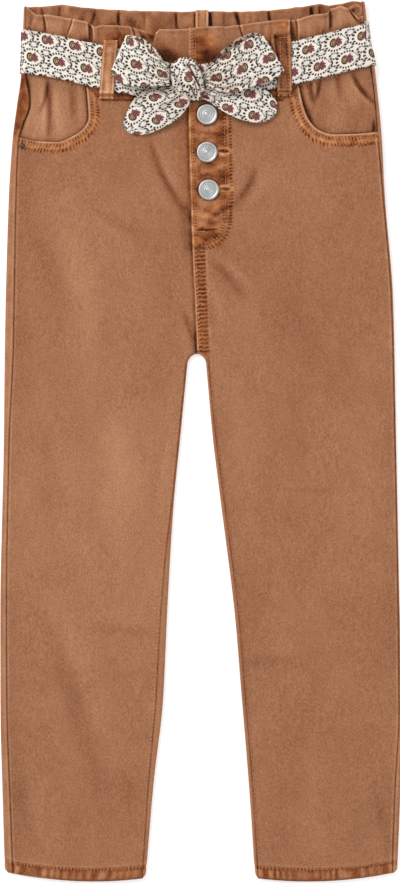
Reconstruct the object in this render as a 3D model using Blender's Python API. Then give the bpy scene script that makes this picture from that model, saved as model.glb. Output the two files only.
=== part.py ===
"""A small child's paperbag-waist trousers in washed twill, with a print belt tied in a bow.

The trousers lie flat on their back, front up, waist towards +Y and hems towards -Y. The origin is on
the surface they lie on, in the middle of their outline. Right and left are the wearer's, so the right
leg is on the -X side. Sizes here are millimetres; the meshes are built in metres.
"""
import math
from collections import namedtuple

import bmesh
import bpy
from mathutils import Vector

# ---- driving sizes ----
MM = 0.001
CLOTH = 1.2  # twill wall
BELT_CLOTH = 1.0  # belt, folded double and pressed
GAP = 0.3  # clearance between two pieces that meet
HALF_GAP = GAP / 2
HEM_WALL = 1.8  # turned hem
HEM_TOP = -312.0
HEM_BOTTOM = -321.0
ROLL = 9.0  # how far a side fold's roll runs in over the panel
BELT_HALF = 16.0  # half the belt's width
CARRIER_WIDTH = 9.0  # the small loops that hold the belt
BELT_LIFT = 2.75  # trousers over the back carrier and the back of the belt
FRILL_LIFT = 1.3  # frill over the back carrier
LIFT_FULL = 2.0  # the lift is full this far below the belt
LIFT_START = 12.0  # and starts this far below it
FALL_START = 1.0  # above the belt it starts to fall here
FALL_END = 9.0  # and has fallen to the frill's lift here
BUTTON_RADIUS = 7.7
RIVET_RADIUS = 1.75

# ---- colours, linear ----
TWILL = (0.42, 0.19, 0.10)
PRINT = (0.80, 0.76, 0.68)
STEEL = (0.48, 0.50, 0.53)
DARK_STEEL = (0.16, 0.15, 0.14)

# ---- outline: the side folds, and the seam that shows beside each on the front ----
Side = namedtuple("Side", "y edge seam")
RIGHT_OUTSEAM = (
    Side(326, -133.5, -131.6),
    Side(279, -135.0, -132.2),
    Side(253, -138.4, -128.8),
    Side(238, -140.5, -133.8),
    Side(226, -141.9, -137.4),
    Side(184, -144.7, -139.3),
    Side(69, -147.8, -141.5),
    Side(1, -148.5, -144.5),
    Side(-133, -151.2, -146.6),
    Side(-194, -151.1, -146.3),
    Side(-280, -149.0, -143.4),
    Side(-330, -147.5, -141.6),
)
LEFT_OUTSEAM = (
    Side(330, 121.8, 119.4),
    Side(298, 125.4, 123.0),
    Side(283, 128.8, 126.6),
    Side(253, 132.4, 130.2),
    Side(227, 134.7, 131.9),
    Side(184, 137.0, 135.6),
    Side(106, 143.2, 141.9),
    Side(1, 145.5, 144.6),
    Side(-117, 147.9, 146.8),
    Side(-205, 150.3, 147.6),
    Side(-261, 148.7, 144.6),
    Side(-330, 146.0, 142.3),
)
RIGHT_INSEAM = (
    Side(56.6, -11.1, -12.0),
    Side(1, -16.5, -17.5),
    Side(-44, -21.0, -22.3),
    Side(-84, -23.7, -27.0),
    Side(-133, -26.3, -31.1),
    Side(-194, -29.2, -34.4),
    Side(-256, -36.2, -39.8),
    Side(-330, -42.4, -44.7),
)
LEFT_INSEAM = (
    Side(56.6, 3.2, 5.0),
    Side(1, 8.3, 10.6),
    Side(-44, 13.9, 16.5),
    Side(-134, 25.0, 27.8),
    Side(-179, 28.7, 31.4),
    Side(-269, 36.0, 38.5),
    Side(-330, 39.9, 42.0),
)

# ---- centre front, centre back and the arch between the legs ----
CROTCH = Vector((-3.4, 65.6))
ARCH_HEIGHT = 9.0
Line = namedtuple("Line", "y x")
FLY_EDGE = (Line(310, -10.2), Line(249, -9.9), Line(174, -8.0), Line(133, -6.4), Line(66, -3.4))
CENTRE_BACK = (Line(260, 0.0), Line(66, -3.4))
LAP = 18.0  # how far the right front reaches under the left
LAP_RISE = 1.7
LAP_FLAT = 20.5  # the left front lies this far over it before it steps down
LAP_END = 27.0
LAP_TOP = 126.0
LAP_FOOT = 112.0

# ---- how high the cloth lies: radius of the side folds, height of the front between them ----
Level = namedtuple("Level", "y radius middle")
LEVELS = (
    Level(330, 3.5, 6.8),
    Level(300, 3.3, 6.4),
    Level(280, 3.2, 6.2),
    Level(220, 3.2, 6.1),
    Level(150, 3.0, 5.2),
    Level(90, 2.6, 4.1),
    Level(50, 2.3, 3.4),
    Level(-270, 2.3, 3.2),
    Level(-315, 2.3, 4.5),
    Level(-330, 2.3, 4.6),
)

# ---- waist seam, and the belt's middle line round the front and across the back ----
Curve = namedtuple("Curve", "x y")
FRONT_SEAM = (
    Curve(-139, 285),
    Curve(-128, 279),
    Curve(-111, 275),
    Curve(-86.4, 266),
    Curve(-74.4, 255.4),
    Curve(-10, 254.8),
    Curve(60.2, 255.4),
    Curve(72.2, 266.5),
    Curve(94, 274),
    Curve(135, 288),
)
BACK_SEAM = (Curve(-139, 284), Curve(132, 286))
BELT_FRONT = (
    Curve(-137, 292),
    Curve(-111, 288),
    Curve(-83, 281.6),
    Curve(-50, 275),
    Curve(-11, 270),
    Curve(40, 278),
    Curve(68, 283),
    Curve(111, 293.6),
    Curve(131, 298.5),
)
BELT_BACK = (Curve(-137, 292), Curve(-70, 286), Curve(0, 284), Curve(70, 290), Curve(131, 298.5))
BELT_WIDTHS = (Curve(-50, 16), Curve(-24, 12), Curve(0, 11), Curve(24, 13), Curve(50, 16))

# ---- the front's frilled top edge: a row for each fold; lift is how far the fold stands up ----
Frill = namedtuple("Frill", "x top lift")
FRILL_RIGHT = (
    Frill(-124.0, 318.8, 0.2),
    Frill(-115.8, 318.7, 1.6),
    Frill(-107.0, 317.6, -0.4),
    Frill(-97.2, 315.6, 1.8),
    Frill(-95.6, 316.6, 0.0),
    Frill(-86.4, 313.4, 1.2),
    Frill(-80.4, 309.9, -0.8),
    Frill(-74.4, 311.2, 1.6),
    Frill(-55.5, 310.1, 0.8),
    Frill(-46.0, 307.9, -0.9),
    Frill(-36.0, 304.4, -0.6),
    Frill(-31.5, 307.9, 0.7),
    Frill(-16.5, 308.0, 0.2),
    Frill(-10.5, 308.4, 0.0),
)
FRILL_LEFT = (
    Frill(10.2, 310.3, 0.0),
    Frill(16.8, 310.1, 0.0),
    Frill(26.2, 310.9, 0.8),
    Frill(29.5, 311.2, -0.5),
    Frill(38.6, 312.8, 1.0),
    Frill(60.2, 315.1, 0.8),
    Frill(67.2, 314.8, -0.8),
    Frill(72.2, 315.6, 0.6),
    Frill(78.8, 317.8, 1.2),
    Frill(93.8, 319.9, 1.8),
    Frill(95.4, 323.0, -0.6),
    Frill(104.0, 325.6, -0.2),
    Frill(110.0, 323.5, 1.8),
    Frill(116.5, 316.5, 1.4),
)
FRILL_BACK = (
    Frill(-124.0, 325.4, 0.0),
    Frill(-114.4, 325.9, 0.9),
    Frill(-105.0, 327.2, 0.1),
    Frill(-91.0, 325.0, 0.9),
    Frill(-75.0, 323.6, 0.0),
    Frill(-63.0, 322.9, 0.8),
    Frill(-47.0, 322.4, 0.1),
    Frill(-35.2, 322.1, 0.9),
    Frill(-16.5, 321.7, 0.2),
    Frill(-7.0, 321.9, 0.0),
    Frill(7.0, 321.9, 0.0),
    Frill(16.5, 321.8, 0.8),
    Frill(27.0, 321.7, 0.0),
    Frill(38.0, 321.8, 0.9),
    Frill(50.0, 322.7, 0.1),
    Frill(66.0, 324.3, 0.9),
    Frill(79.0, 326.0, 0.0),
    Frill(88.5, 327.6, 0.8),
    Frill(95.0, 326.0, 0.1),
    Frill(104.0, 327.6, 0.9),
    Frill(113.0, 329.6, 0.3),
)
FRONT_CORNER = {"right": 325.0, "left": 318.0}  # how high the front's side ends reach
BACK_CORNER = {"right": 325.2, "left": 329.0}

# ---- pocket openings: the scoop's edge, and where each of its rows meets the fly ----
Scoop = namedtuple("Scoop", "x y fly_y")
SCOOP_RIGHT = (
    Scoop(-123.0, 224.9, 205),
    Scoop(-108.5, 224.2, 214),
    Scoop(-97.0, 228.4, 224),
    Scoop(-88.5, 234.4, 233),
    Scoop(-84.6, 242.6, 242),
    Scoop(-85.2, 253.0, 249),
)
SCOOP_LEFT = (
    Scoop(114.8, 230.3, 207),
    Scoop(98.2, 229.9, 215),
    Scoop(87.8, 232.9, 224),
    Scoop(79.5, 241.1, 234),
    Scoop(75.2, 252.0, 245),
)
SCOOP_TOP = {"right": -86.4, "left": 72.2}
SCOOP_FOOT = {"right": 227.6, "left": 231.8}

# ---- broad creases: a soft ridge or trough along a line ----
Crease = namedtuple("Crease", "x1 y1 x2 y2 lift width")
CREASES = (
    Crease(-39, 226, -14, 172, -0.8, 9),
    Crease(44, 206, 30, 178, -0.7, 9),
    Crease(-60, 190, -95, 120, 0.7, 22),
    Crease(62, 200, 96, 130, 0.7, 22),
    Crease(-20, 100, -60, 30, 0.8, 16),
    Crease(14, 104, 52, 40, 0.7, 16),
    Crease(-104, 10, -92, -110, 0.7, 20),
    Crease(92, 20, 84, -100, 0.7, 20),
    Crease(-60, -60, -98, -190, 0.6, 18),
    Crease(66, -80, 104, -200, 0.6, 18),
    Crease(-88, -215, -82, -300, 0.5, 20),
    Crease(92, -225, 86, -305, 0.5, 20),
)

# ---- rows of points down each panel ----
SEAT_ROWS = (196, 172, 150, 128, 104, 84)
Row = namedtuple("Row", "y waist")  # a row's height, and how much of the waist seam's curve it keeps
POCKET_ROWS = (Row(255, 1.0), Row(247, 0.75), Row(236, 0.4), Row(226, 0.15), Row(214, 0.0))
Arch = namedtuple("Arch", "angle outer_y")
ARCH_ROWS = (Arch(0, 69), Arch(30, 66), Arch(60, 61), Arch(90, 56.6))
Hem = namedtuple("Hem", "outer inner bow")  # a row's y at its two ends, and its dip between them
LEG_ROWS = (
    Hem(40, 40, 0),
    Hem(5, 5, 0),
    Hem(-35, -35, 0),
    Hem(-75, -75, 0),
    Hem(-115, -115, 0),
    Hem(-155, -155, 0),
    Hem(-195, -195, 0),
    Hem(-232, -232, 1),
    Hem(-266, -266, 3),
    Hem(-294, -294, 5),
    Hem(-312, -312, 6.5),
    Hem(-322, -325, 6.5),
)
FOLD_STEPS = 5
BOTTOM_STEPS = 5
INNER_STEPS = 4
PANEL_FRACTIONS = (0.22, 0.5, 0.78)

# ---- the tied bow: a row for each station along the ribbon, with its two edges ----
Ribbon = namedtuple("Ribbon", "ax ay bx by z crown")
LOOP_RIGHT = (
    Ribbon(-24.8, 279.4, -24.8, 265.9, 16.2, 0.0),
    Ribbon(-31.5, 284.6, -31.5, 265.1, 18.5, 0.8),
    Ribbon(-40.5, 292.9, -42.0, 265.1, 19.8, 1.0),
    Ribbon(-49.5, 298.9, -54.0, 265.5, 19.4, 1.0),
    Ribbon(-54.8, 301.5, -63.2, 269.6, 18.2, 0.6),
    Ribbon(-56.4, 302.6, -68.4, 274.9, 16.4, 0.2),
    Ribbon(-54.0, 303.0, -64.0, 271.9, 14.7, 0.0),
    Ribbon(-45.0, 301.4, -52.5, 266.4, 14.2, 0.0),
    Ribbon(-34.5, 293.6, -39.0, 266.0, 14.2, 0.0),
    Ribbon(-26.0, 280.6, -24.9, 266.6, 14.4, 0.0),
)
LOOP_LEFT = (
    Ribbon(3.1, 277.9, 3.1, 265.1, 16.2, 0.0),
    Ribbon(12.0, 284.6, 13.5, 261.0, 18.5, 0.8),
    Ribbon(22.5, 292.1, 25.5, 260.6, 20.0, 1.0),
    Ribbon(33.0, 298.9, 40.5, 265.9, 19.8, 1.0),
    Ribbon(41.2, 302.0, 53.2, 270.2, 18.2, 0.6),
    Ribbon(45.6, 302.4, 61.4, 276.8, 16.4, 0.2),
    Ribbon(41.2, 304.3, 56.2, 274.1, 14.7, 0.0),
    Ribbon(30.8, 302.4, 40.5, 268.1, 14.2, 0.0),
    Ribbon(18.0, 294.0, 24.0, 263.6, 14.2, 0.0),
    Ribbon(3.8, 280.1, 4.5, 265.1, 14.4, 0.0),
)
TAIL_RIGHT = (
    Ribbon(-19.5, 268.1, -7.5, 259.1, 12.7, 0.0),
    Ribbon(-31.5, 263.6, -10.5, 250.9, 12.3, 0.0),
    Ribbon(-43.0, 262.9, -18.0, 241.9, 11.5, 0.3),
    Ribbon(-51.8, 253.9, -29.2, 235.1, 9.8, 0.8),
    Ribbon(-57.0, 243.4, -39.8, 231.0, 8.1, 0.8),
    Ribbon(-58.2, 235.6, -50.6, 230.2, 7.4, 0.2),
)
TAIL_LEFT = (
    Ribbon(-6.5, 269.6, -1.5, 256.9, 12.85, 0.0),
    Ribbon(7.5, 266.6, 5.2, 254.2, 12.9, 0.0),
    Ribbon(21.0, 265.1, 14.2, 247.9, 13.0, 0.0),
    Ribbon(36.0, 266.2, 27.0, 241.5, 12.8, 0.3),
    Ribbon(48.0, 261.4, 39.8, 238.9, 11.1, 0.6),
    Ribbon(55.4, 252.4, 49.6, 241.4, 8.1, 0.4),
)
Knot = namedtuple("Knot", "y left right top")
KNOT = (
    Knot(286.4, -16, -7, 16.2),
    Knot(283.0, -22, -1, 20.8),
    Knot(276.0, -24.3, 1.4, 23.8),
    Knot(268.0, -24.2, 2.2, 24.4),
    Knot(261.0, -20.0, 2.2, 22.8),
    Knot(256.5, -12.5, 1.4, 19.2),
    Knot(254.4, -7.0, 0.0, 16.2),
)
KNOT_BOTTOM = 13.65
KNOT_SIDES = 10

# ---- metal pieces: places, and the profile of a button from its foot up ----
Place = namedtuple("Place", "name x y")
BUTTONS = (
    Place("button_top", 3.8, 244.6),
    Place("button_middle", 3.8, 216.4),
    Place("button_bottom", 5.0, 188.3),
)
RIVET = Place("pocket_rivet", -134.6, 221.6)
Ring = namedtuple("Ring", "radius z")
BUTTON_PROFILE = (
    Ring(3.0, 0.0),
    Ring(3.0, 0.9),
    Ring(7.5, 1.0),
    Ring(BUTTON_RADIUS, 1.6),
    Ring(7.1, 2.4),
    Ring(5.6, 2.2),
    Ring(3.0, 2.6),
)
RIVET_PROFILE = (Ring(1.4, 0.0), Ring(RIVET_RADIUS, 0.3), Ring(RIVET_RADIUS, 0.6), Ring(1.0, 1.0))
SEAT = 0.4  # metal pieces stand this far off the cloth's mean surface
TURNS = 14


# ---- small helpers ----
def clear_scene():
    for thing in list(bpy.data.objects):
        bpy.data.objects.remove(thing, do_unlink=True)


def through(rows, key, value):
    """A smooth curve, value against key, through a table's rows."""
    points = sorted((getattr(r, key), getattr(r, value)) for r in rows)
    steps = [(b[1] - a[1]) / (b[0] - a[0]) for a, b in zip(points, points[1:])]
    slopes = [2 * a * b / (a + b) if a * b > 0 else 0.0 for a, b in zip(steps, steps[1:])]
    slopes = [steps[0]] + slopes + [steps[-1]]

    def at(k):
        if k <= points[0][0]:
            return points[0][1]
        if k >= points[-1][0]:
            return points[-1][1]
        i = max(n for n, p in enumerate(points[:-1]) if p[0] <= k)
        (k0, v0), (k1, v1) = points[i], points[i + 1]
        span = k1 - k0
        t = (k - k0) / span
        start = v0 * (1 + 2 * t) * (1 - t) ** 2 + slopes[i] * span * t * (1 - t) ** 2
        end = v1 * t * t * (3 - 2 * t) - slopes[i + 1] * span * t * t * (1 - t)
        return start + end

    return at


def straight(rows, x):
    """Height of a line of straight stretches through a table's rows."""
    i = max([n for n, r in enumerate(rows[:-1]) if r.x <= x] or [0])
    a, b = rows[i], rows[i + 1]
    return mix(a.y, b.y, (x - a.x) / (b.x - a.x))


def ease(low, high, value):
    """0 below low, 1 above high, and smooth between them."""
    t = min(max((value - low) / (high - low), 0.0), 1.0)
    return t * t * (3 - 2 * t)


def mix(a, b, t):
    return a + (b - a) * t


def material(name, colour, roughness, metallic):
    finish = bpy.data.materials.new(name)
    finish.use_nodes = True
    shader = finish.node_tree.nodes["Principled BSDF"]
    shader.inputs["Base Color"].default_value = (*colour, 1)
    shader.inputs["Roughness"].default_value = roughness
    shader.inputs["Metallic"].default_value = metallic
    return finish


def add_piece(name, bm, finish, sharp=50):
    """Makes the finished object from a bmesh in millimetres."""
    bmesh.ops.recalc_face_normals(bm, faces=bm.faces)
    bmesh.ops.scale(bm, vec=(MM, MM, MM), verts=bm.verts)
    mesh = bpy.data.meshes.new(name)
    bm.to_mesh(mesh)
    bm.free()
    mesh.materials.append(finish)
    mesh.shade_smooth()
    mesh.set_sharp_from_angle(angle=math.radians(sharp))
    piece = bpy.data.objects.new(name, mesh)
    bpy.context.scene.collection.objects.link(piece)
    return piece


def wall(name, outer, inner, finish):
    """One closed sheet of cloth from two matching grids, joined round their edges.

    A grid is a list of rows. Its rows may be short: where a point is missing, so is the cloth.
    """
    bm = bmesh.new()
    sheets = [[[bm.verts.new(p) for p in row] for row in grid] for grid in (outer, inner)]
    cells = [
        (i, j)
        for i in range(len(outer) - 1)
        for j in range(min(len(outer[i]), len(outer[i + 1])) - 1)
    ]
    sides = {}
    for i, j in cells:
        corners = ((i, j), (i, j + 1), (i + 1, j + 1), (i + 1, j))
        bm.faces.new([sheets[0][a][b] for a, b in corners])
        bm.faces.new([sheets[1][a][b] for a, b in reversed(corners)])
        for a, b in zip(corners, corners[1:] + corners[:1]):
            sides[frozenset((a, b))] = None if frozenset((a, b)) in sides else (a, b)
    for side in (s for s in sides.values() if s):
        (ai, aj), (bi, bj) = side
        bm.faces.new([sheets[0][bi][bj], sheets[0][ai][aj], sheets[1][ai][aj], sheets[1][bi][bj]])
    loose = [v for v in bm.verts if not v.link_faces]
    bmesh.ops.delete(bm, geom=loose, context="VERTS")
    return add_piece(name, bm, finish)


def turned(name, profile, x, y, z, finish):
    """A round piece: rings of the profile joined by bands, closed by a face at each end."""
    bm = bmesh.new()
    rings = []
    for ring in profile:
        circle = []
        for n in range(TURNS):
            a = 2 * math.pi * n / TURNS
            circle.append(bm.verts.new((x + ring.radius * math.cos(a), y + ring.radius * math.sin(a), z + ring.z)))
        rings.append(circle)
    close_rings(bm, rings)
    return add_piece(name, bm, finish, sharp=30)


def close_rings(bm, rings):
    for low, high in zip(rings, rings[1:]):
        for n in range(len(low)):
            m = (n + 1) % len(low)
            bm.faces.new((low[n], low[m], high[m], high[n]))
    bm.faces.new(list(reversed(rings[0])))
    bm.faces.new(rings[-1])


# ---- the shape the cloth lies in ----
radius_at = through(LEVELS, "y", "radius")
middle_at = through(LEVELS, "y", "middle")
fly_at = through(FLY_EDGE, "y", "x")
back_at = through(CENTRE_BACK, "y", "x")
belt_front_at = through(BELT_FRONT, "x", "y")
belt_back_at = through(BELT_BACK, "x", "y")
belt_width_at = through(BELT_WIDTHS, "x", "y")


class Half:
    """One half of the trousers: its name, its side (-1 right, +1 left) and its tables as curves."""

    def __init__(self, name, side, outseam, inseam, scoop, frill):
        self.name, self.side, self.scoop, self.frill = name, side, scoop, frill
        self.edge = through(outseam, "y", "edge")
        self.seam = through(outseam, "y", "seam")
        self.inner_edge = through(inseam, "y", "edge")
        self.inner_seam = through(inseam, "y", "seam")
        self.arch_half = abs(inseam[0].edge - CROTCH.x)
        self.arch_end = inseam[0].y

    def inner_point(self, y=None, angle=None):
        """A point of the leg's inner outline, and the way it faces, at a height or round the arch."""
        if angle is None:
            return Vector((self.inner_edge(y), y)), Vector((-self.side, 0))
        a = math.radians(angle)
        spot = CROTCH + Vector((self.side * self.arch_half * math.sin(a), ARCH_HEIGHT * (math.cos(a) - 1)))
        facing = Vector((-self.side * math.sin(a) / self.arch_half, -math.cos(a) / ARCH_HEIGHT))
        return spot, facing.normalized()

    def inner_distance(self, x, y):
        """How far a point of the cloth is from the gap between the legs."""
        if y >= self.arch_end:
            spots = [self.inner_point(angle=a)[0] for a in range(0, 91, 5)]
            return min((Vector((x, y)) - s).length for s in spots)
        return abs(x - self.inner_edge(y))


RIGHT = Half("right", -1, RIGHT_OUTSEAM, RIGHT_INSEAM, SCOOP_RIGHT, FRILL_RIGHT)
LEFT = Half("left", 1, LEFT_OUTSEAM, LEFT_INSEAM, SCOOP_LEFT, FRILL_LEFT)


def belt_lift(x, y, line):
    """How far the belt and its back carrier hold the trousers off the surface."""
    lower, upper = line(x) - BELT_HALF, line(x) + BELT_HALF
    up = ease(lower - LIFT_START, lower - LIFT_FULL, y)
    down = ease(upper + FALL_START, upper + FALL_END, y)
    return BELT_LIFT * up - (BELT_LIFT - FRILL_LIFT) * down


def section_height(d, y):
    """Height of the front at a distance in from the outline: a round fold, then its roll."""
    r, middle = radius_at(y), middle_at(y)
    if d < r:
        return r + math.sqrt(max(r * r - (r - d) ** 2, 0.0))
    return middle + (2 * r - middle) * math.exp(-(((d - r) / ROLL) ** 2))


def crease_height(x, y):
    total = 0.0
    for c in CREASES:
        a, b, p = Vector((c.x1, c.y1)), Vector((c.x2, c.y2)), Vector((x, y))
        t = (p - a).dot(b - a) / (b - a).length_squared
        near = a.lerp(b, min(max(t, 0.0), 1.0))
        total += c.lift * math.exp(-(((p - near).length / c.width) ** 2))
    return total


def lap_rise(x, y):
    """The step of the left front over the right front's edge, beside the fly."""
    across = 1 - ease(LAP_FLAT, LAP_END, x - fly_at(y))
    return LAP_RISE * across * ease(LAP_FOOT, LAP_TOP, y)


def front_height(half, x, y):
    """Height of the front's outer face."""
    d_out = abs(half.edge(y) - x)
    d_in = half.inner_distance(x, y) if y < 90 else 1000.0
    height = section_height(min(d_out, d_in), y)
    clear_of_edges = ease(0, 25, min(d_out, d_in)) * (1 - ease(235, 255, y))
    height += crease_height(x, y) * clear_of_edges
    height += belt_lift(x, y, belt_back_at)
    return height + (lap_rise(x, y) if half is LEFT else 0.0)


def front_point(half, x, y, height=None):
    """A point of the front's outer face and the way the cloth faces there."""
    height = height or front_height
    step = 0.25
    z = height(half, x, y)
    dx = (height(half, x + step, y) - height(half, x - step, y)) / (2 * step)
    dy = (height(half, x, y + step) - height(half, x, y - step)) / (2 * step)
    return Vector((x, y, z)), Vector((-dx, -dy, 1)).normalized()


def wall_at(y):
    return mix(CLOTH, HEM_WALL, ease(-HEM_TOP, -HEM_BOTTOM, -y))


# ---- grids of the panels ----
def pocket_row(row, x):
    """Height of one of the rows that take up the curve of the front's waist seam."""
    return row.y + row.waist * (straight(FRONT_SEAM, x) - POCKET_ROWS[0].y)


def back_lines(half):
    """Heights, against x, of the rows across the back from the waist seam to the seat."""
    lines = [
        lambda x: straight(BACK_SEAM, x) - HALF_GAP,
        lambda x: belt_back_at(x) - BELT_HALF - LIFT_FULL,
        lambda x: belt_back_at(x) - BELT_HALF - LIFT_START,
    ]
    return lines + [lambda x, y=y: y for y in (242, SCOOP_FOOT[half.name]) + SEAT_ROWS]


def waist_rows(seam, line, top, x):
    """Heights of the rows up a waist piece at one place: its seam, round the belt, and the frill."""
    start = straight(seam, x) + GAP
    low = line(x) - BELT_HALF - LIFT_START
    below = max(start + 2, line(x) - BELT_HALF - LIFT_FULL)
    above = min(line(x) + BELT_HALF + FALL_START, top - 4)
    fallen = min(line(x) + BELT_HALF + FALL_END, top - 2)
    extra = low if low > start + 1 else (below + above) / 2
    return sorted((start, extra, below, above, fallen, (fallen + top) / 2, top))


FRILL_SHARES = (0.0, 0.0, 0.0, 0.15, 0.5, 0.8, 1.0)  # how much of a fold's lift each of those rows has


def fold_path(reach, y, steps):
    """Stations round a side fold, from a seam on the front to the cloth's underside.

    reach is the seam's distance in from the outline. Each station is (distance in, height, angle).
    """
    r = radius_at(y)
    low = -math.pi / 2
    if reach > r:
        high = math.pi / 2
        angles = [high - n * (high - low) / (steps - 1) for n in range(steps)]
        start = [(reach, section_height(reach, y), high)]
    else:
        high = math.acos((r - reach) / r)
        angles = [high - n * (high - low) / steps for n in range(steps + 1)]
        start = []
    return start + [(r * (1 - math.cos(a)), r * (1 + math.sin(a)), a) for a in angles]


def fold_points(edge, facing, reach, lift, steps, y):
    """Points round a fold whose outline point and plan facing are given, each with its normal."""
    out = []
    for d, z, a in fold_path(reach, y, steps):
        at = edge - facing * d
        flat = facing * math.cos(a)
        out.append((Vector((at.x, at.y, z + lift)), Vector((flat.x, flat.y, math.sin(a)))))
    return out


def bottom_points(start, end, bow, row_y, facing_in):
    """Points across the underside between two places, with the first and last left out."""
    out = []
    for n in range(1, BOTTOM_STEPS):
        t = n / BOTTOM_STEPS
        x, y = mix(start.x, end.x, t), mix(start.y, end.y, t)
        if row_y:
            y = row_y(x)
        y -= bow * 4 * t * (1 - t)
        out.append((Vector((x, y, belt_lift(x, y, belt_back_at))), facing_in))
    return out


def back_rows(half):
    """Every row of a back panel: outseam, side fold, underside, and on the leg the inner fold."""
    down = Vector((0, 0, -1))
    facing = Vector((half.side, 0))

    def outer(y):
        edge = Vector((half.edge(y), y))
        reach = abs(half.edge(y) - half.seam(y)) - HALF_GAP
        return fold_points(edge, facing, reach, belt_lift(edge.x, y, belt_back_at), FOLD_STEPS, y)

    rows = []
    for line in back_lines(half):
        fold = outer(line(half.edge(260)))
        y_in = line(0.0)
        end = Vector((back_at(y_in) + half.side * HALF_GAP, y_in, belt_lift(0.0, y_in, belt_back_at)))
        rows.append(fold + bottom_points(fold[-1][0], end, 0, line, down) + [(end, down)])
    inner_rows = [(a.outer_y, half.inner_point(angle=a.angle), 0) for a in ARCH_ROWS]
    inner_rows += [(leg.outer, half.inner_point(y=leg.inner), leg.bow) for leg in LEG_ROWS]
    for y_out, (edge, facing_in), bow in inner_rows:
        fold = outer(y_out)
        reach = abs(half.inner_seam(edge.y) - half.inner_edge(edge.y)) - HALF_GAP
        if edge == CROTCH:
            edge = edge + Vector((half.side * HALF_GAP, 0))
        inner = fold_points(edge, facing_in, reach, 0.0, INNER_STEPS, edge.y)[::-1]
        across = bottom_points(fold[-1][0], inner[0][0], bow, None, down)
        rows.append(fold + across + inner)
    return rows


def back_panel(half, finish):
    rows = back_rows(half)
    outer = [[p for p, n in row] for row in rows]
    inner = [[p - n * wall_at(p.y) for p, n in row] for row in rows]
    return wall(f"back_panel_{half.name}", outer, inner, finish)


def front_ends(half):
    """Where each row of a front panel starts and ends, in plan, with its dip."""
    side = half.side

    def fly(y):
        if half is RIGHT:
            under = mix(-HALF_GAP, LAP, ease(128, 172, y))
            return Vector((fly_at(y) + under, y))
        return Vector((fly_at(y) + HALF_GAP, y))

    def outer(y):
        return Vector((half.seam(y) - side * HALF_GAP, y))

    top = SCOOP_TOP[half.name]
    ends = [(Vector((top, 0)), Vector((fly(255).x, 0)), 0)]
    ends += [(Vector((s.x, s.y)), fly(s.fly_y), 0) for s in reversed(half.scoop)]
    ends.append((outer(SCOOP_FOOT[half.name]), fly(half.scoop[0].fly_y - 10), 0))
    ends += [(outer(y), fly(y - 8), 0) for y in SEAT_ROWS[:2]]
    ends += [(outer(y), fly(y), 0) for y in SEAT_ROWS[2:]]
    inner_rows = [(a.outer_y, half.inner_point(angle=a.angle), 0) for a in ARCH_ROWS]
    inner_rows += [(leg.outer, half.inner_point(y=leg.inner), leg.bow) for leg in LEG_ROWS]
    for y_out, (edge, facing), bow in inner_rows:
        reach = abs(half.inner_seam(edge.y) - half.inner_edge(edge.y)) + HALF_GAP
        if edge == CROTCH:
            edge = edge + Vector((side * HALF_GAP, 0))
        ends.append((outer(y_out), edge - facing * reach, bow))
    return ends


def panel_line(start, end, bow):
    """Plan points along one row: closer together near both of its ends."""
    length = (end - start).length
    near = [0.0, 3.5, 12.0]
    far = [length - LAP_END, length - LAP_FLAT, length - 3.0, length]
    between = [mix(near[-1], far[0], f) for f in PANEL_FRACTIONS]
    out = []
    for s in near + between + far:
        t = s / length
        at = start.lerp(end, t)
        out.append(Vector((at.x, at.y - bow * 4 * t * (1 - t))))
    return out


def front_panel(half, finish):
    outer, inner = [], []
    for n, (start, end, bow) in enumerate(front_ends(half)):
        line = panel_line(start, end, bow)
        if n == 0:
            line = [Vector((p.x, straight(FRONT_SEAM, p.x) - GAP)) for p in line]
        points = [front_point(half, p.x, p.y) for p in line]
        outer.append([p for p, n in points])
        inner.append([p - n * wall_at(p.y) for p, n in points])
    return wall(f"front_panel_{half.name}", outer, inner, finish)


def hip_piece(half, finish):
    """The cloth under the pocket opening, from the outseam to a little past the scoop."""
    depth = CLOTH + 2 * GAP + 0.2
    inner_x = SCOOP_TOP[half.name] - half.side * 9
    outer, inner = [], []
    for row in POCKET_ROWS:
        y_side = pocket_row(row, half.seam(row.y)) - HALF_GAP
        x_side = half.seam(y_side) - half.side * (HALF_GAP + 0.4)
        front, back = [], []
        for n in range(8):
            x = mix(x_side, inner_x, n / 7)
            p, normal = front_point(half, x, pocket_row(row, x) - HALF_GAP)
            front.append(p - normal * depth)
            back.append(p - normal * (depth + CLOTH))
        outer.append(front)
        inner.append(back)
    return wall(f"hip_piece_{half.name}", outer, inner, finish)


# ---- grids of the waist ----
def front_waist(half, finish):
    """A front waist piece: gathered from the side, smooth at the middle, with its frilled top edge."""
    columns = list(half.frill)
    if half is RIGHT:
        columns.append(Frill(fly_at(300) + LAP, 308.0, 0.0))
        columns = [Frill(None, FRONT_CORNER["right"], 0.4)] + columns
    else:
        columns = [Frill(fly_at(300) + HALF_GAP, 308.8, 0.0)] + columns
        columns = columns + [Frill(None, FRONT_CORNER["left"], 0.4)]
    outer, inner = [], []
    for n, share in enumerate(FRILL_SHARES):
        front, back = [], []
        for fold in columns:
            x = half.seam(300) if fold.x is None else fold.x
            y = waist_rows(FRONT_SEAM, belt_back_at, fold.top, x)[n]
            if fold.x is None:
                x = half.seam(y) - half.side * HALF_GAP
            p, normal = front_point(half, x, y)
            lift = Vector((0, 0, fold.lift * share))
            front.append(p + lift)
            back.append(p + lift - normal * CLOTH)
        outer.append(front)
        inner.append(back)
    return wall(f"front_waist_{half.name}", outer, inner, finish)


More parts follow.
